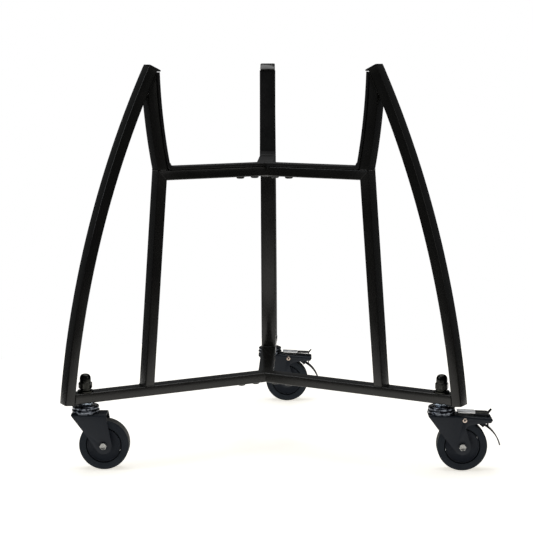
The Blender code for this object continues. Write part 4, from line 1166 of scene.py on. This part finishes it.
def make_rivet(side, at, body):
    """Hollow rivet through the housing, with a black plug in either end of its bore as painted
    shade.
    """
    seat = FORK_HALF + GAP
    upper = [(r * MM, seat + h * MM) for r, h in
             ((0, -9.0), (1.45, -9.0), (1.5, 0.6), (1.8, 0.95), (2.5, 1.0), (3.1, 0.8),
              (3.5, 0.4), (3.6, 0.1), (3.5, 0), (1.8, 0))]
    origin = at + Vector((PIVOT.x, 0, PIVOT.y))
    turned(side + "_hollow_rivet", mirrored(upper), origin, 'Y', 40, RIVET_METAL, body,
           "bright_zinc", (side + "_brake_rivet",))
    # painted shade: a black disc sits inside each end of the bore, where there is only shadow
    for tag, sign in (("near", -1), ("far", 1)):
        profile = [(r * MM, sign * (seat + h * MM)) for r, h in
                   ((0, -8.0), (1.4, -8.0), (1.4, 0.35), (0, 0.25))][::sign]
        turned(f"{side}_rivet_shade_plug_{tag}", profile, origin, 'Y', 32, BLACK_OXIDE, body,
               "bright_zinc")


def make_caster(side):
    at = Vector((SWIVEL[side].x, SWIVEL[side].y, 0.0))
    swivel, wheel = side + "_swivel", side + "_wheel"
    make_stem(side, at)
    make_nut(side, at)
    make_fork(side, at, swivel)
    axle = at + Vector((TRAIL[side], 0, WHEEL_R))
    make_wheel(side, axle, wheel)
    make_axle(side, axle, swivel)
    if side in BRAKED:
        make_brake(side, at, side + "_pedal")
        make_rivet(side, at, swivel)


# ---- stage, light, camera
def make_stage():
    """A white floor, and a white backdrop that lights the stand only dimly."""
    mat, _, shader = material_base("floor_white", (0.9, 0.9, 0.9), 0.9, specular=0.0)
    fill(shader, {"Emission Color": (1.0, 0.965, 0.88, 1.0), "Emission Strength": 0.68})
    bm = bmesh.new()
    bmesh.ops.create_circle(bm, cap_ends=True, segments=96, radius=0.85)
    bmesh.ops.translate(bm, verts=bm.verts, vec=(0, 0, -0.0005))
    floor = object_of("floor", bm)
    floor.data.materials.append(mat)
    world = bpy.data.worlds.new("studio")
    bpy.context.scene.world = world
    world.use_nodes = True
    tree = world.node_tree
    back = tree.nodes["Background"]
    fill(back, {"Color": (1.0, 1.0, 1.0, 1.0), "Strength": 1.0})
    dim = tree.nodes.new("ShaderNodeBackground")
    fill(dim, {"Color": (0.94, 0.97, 1.0, 1.0), "Strength": 0.07})
    path = tree.nodes.new("ShaderNodeLightPath")
    mix = tree.nodes.new("ShaderNodeMixShader")
    out = tree.nodes["World Output"]
    tree.links.new(path.outputs["Is Camera Ray"], mix.inputs["Fac"])
    tree.links.new(dim.outputs["Background"], mix.inputs[1])
    tree.links.new(back.outputs["Background"], mix.inputs[2])
    tree.links.new(mix.outputs["Shader"], out.inputs["Surface"])


def area_light(name, location, target, size, power, color):
    light = bpy.data.lights.new(name, 'AREA')
    light.shape = 'RECTANGLE'
    light.size, light.size_y = size
    light.energy = power
    light.color = color
    obj = linked(name, light)
    obj.location = location
    obj.rotation_euler = (Vector(target) - Vector(location)).to_track_quat('-Z', 'Y').to_euler()


def make_lights():
    area_light("overhead", (0.0, 0.3, 2.4), (0, 0, 0), (2.4, 2.4), 38.0, (1.0, 1.0, 1.0))
    area_light("left_box", (-2.3, -0.9, 1.7), (0, 0, 0.35), (0.9, 1.5), 10.0, (0.93, 0.97, 1.0))
    area_light("right_box", (2.5, -1.4, 1.5), (0, 0, 0.3), (0.9, 1.5), 5.0, (1.0, 0.98, 0.95))


def make_camera():
    """Eye level with the top of the arms, 2.4 m away, a long lens turned slightly down."""
    data = bpy.data.cameras.new("camera")
    data.sensor_width = 36.0
    data.lens = 101.49
    camera = linked("camera", data)
    turn, away = 0.026, 2.433
    camera.location = HUB + Vector((away * math.sin(turn), -away * math.cos(turn), 0.6315))
    aim = (Matrix.Rotation(turn - 0.0008, 4, 'Z') @ Matrix.Rotation(math.pi / 2 - 0.1377, 4, 'X')
           @ Matrix.Rotation(-0.0034, 4, 'Z'))
    camera.rotation_euler = aim.to_euler()
    bpy.context.scene.camera = camera
    bpy.context.scene.view_settings.view_transform = 'Standard'


make_camera()
for name in ("lower_connector", "upper_connector"):
    node = frame["nodes"][name]
    node.data.materials.clear()
    node.data.materials.append(BARE)
for side_name in SIDES:
    for make in (make_rails, make_leg, make_upright, make_arm, make_liner, make_cap, make_welds,
                 make_caster):
        make(side_name)
make_hub_welds()
make_hub_bolts()
make_stage()
make_lights()
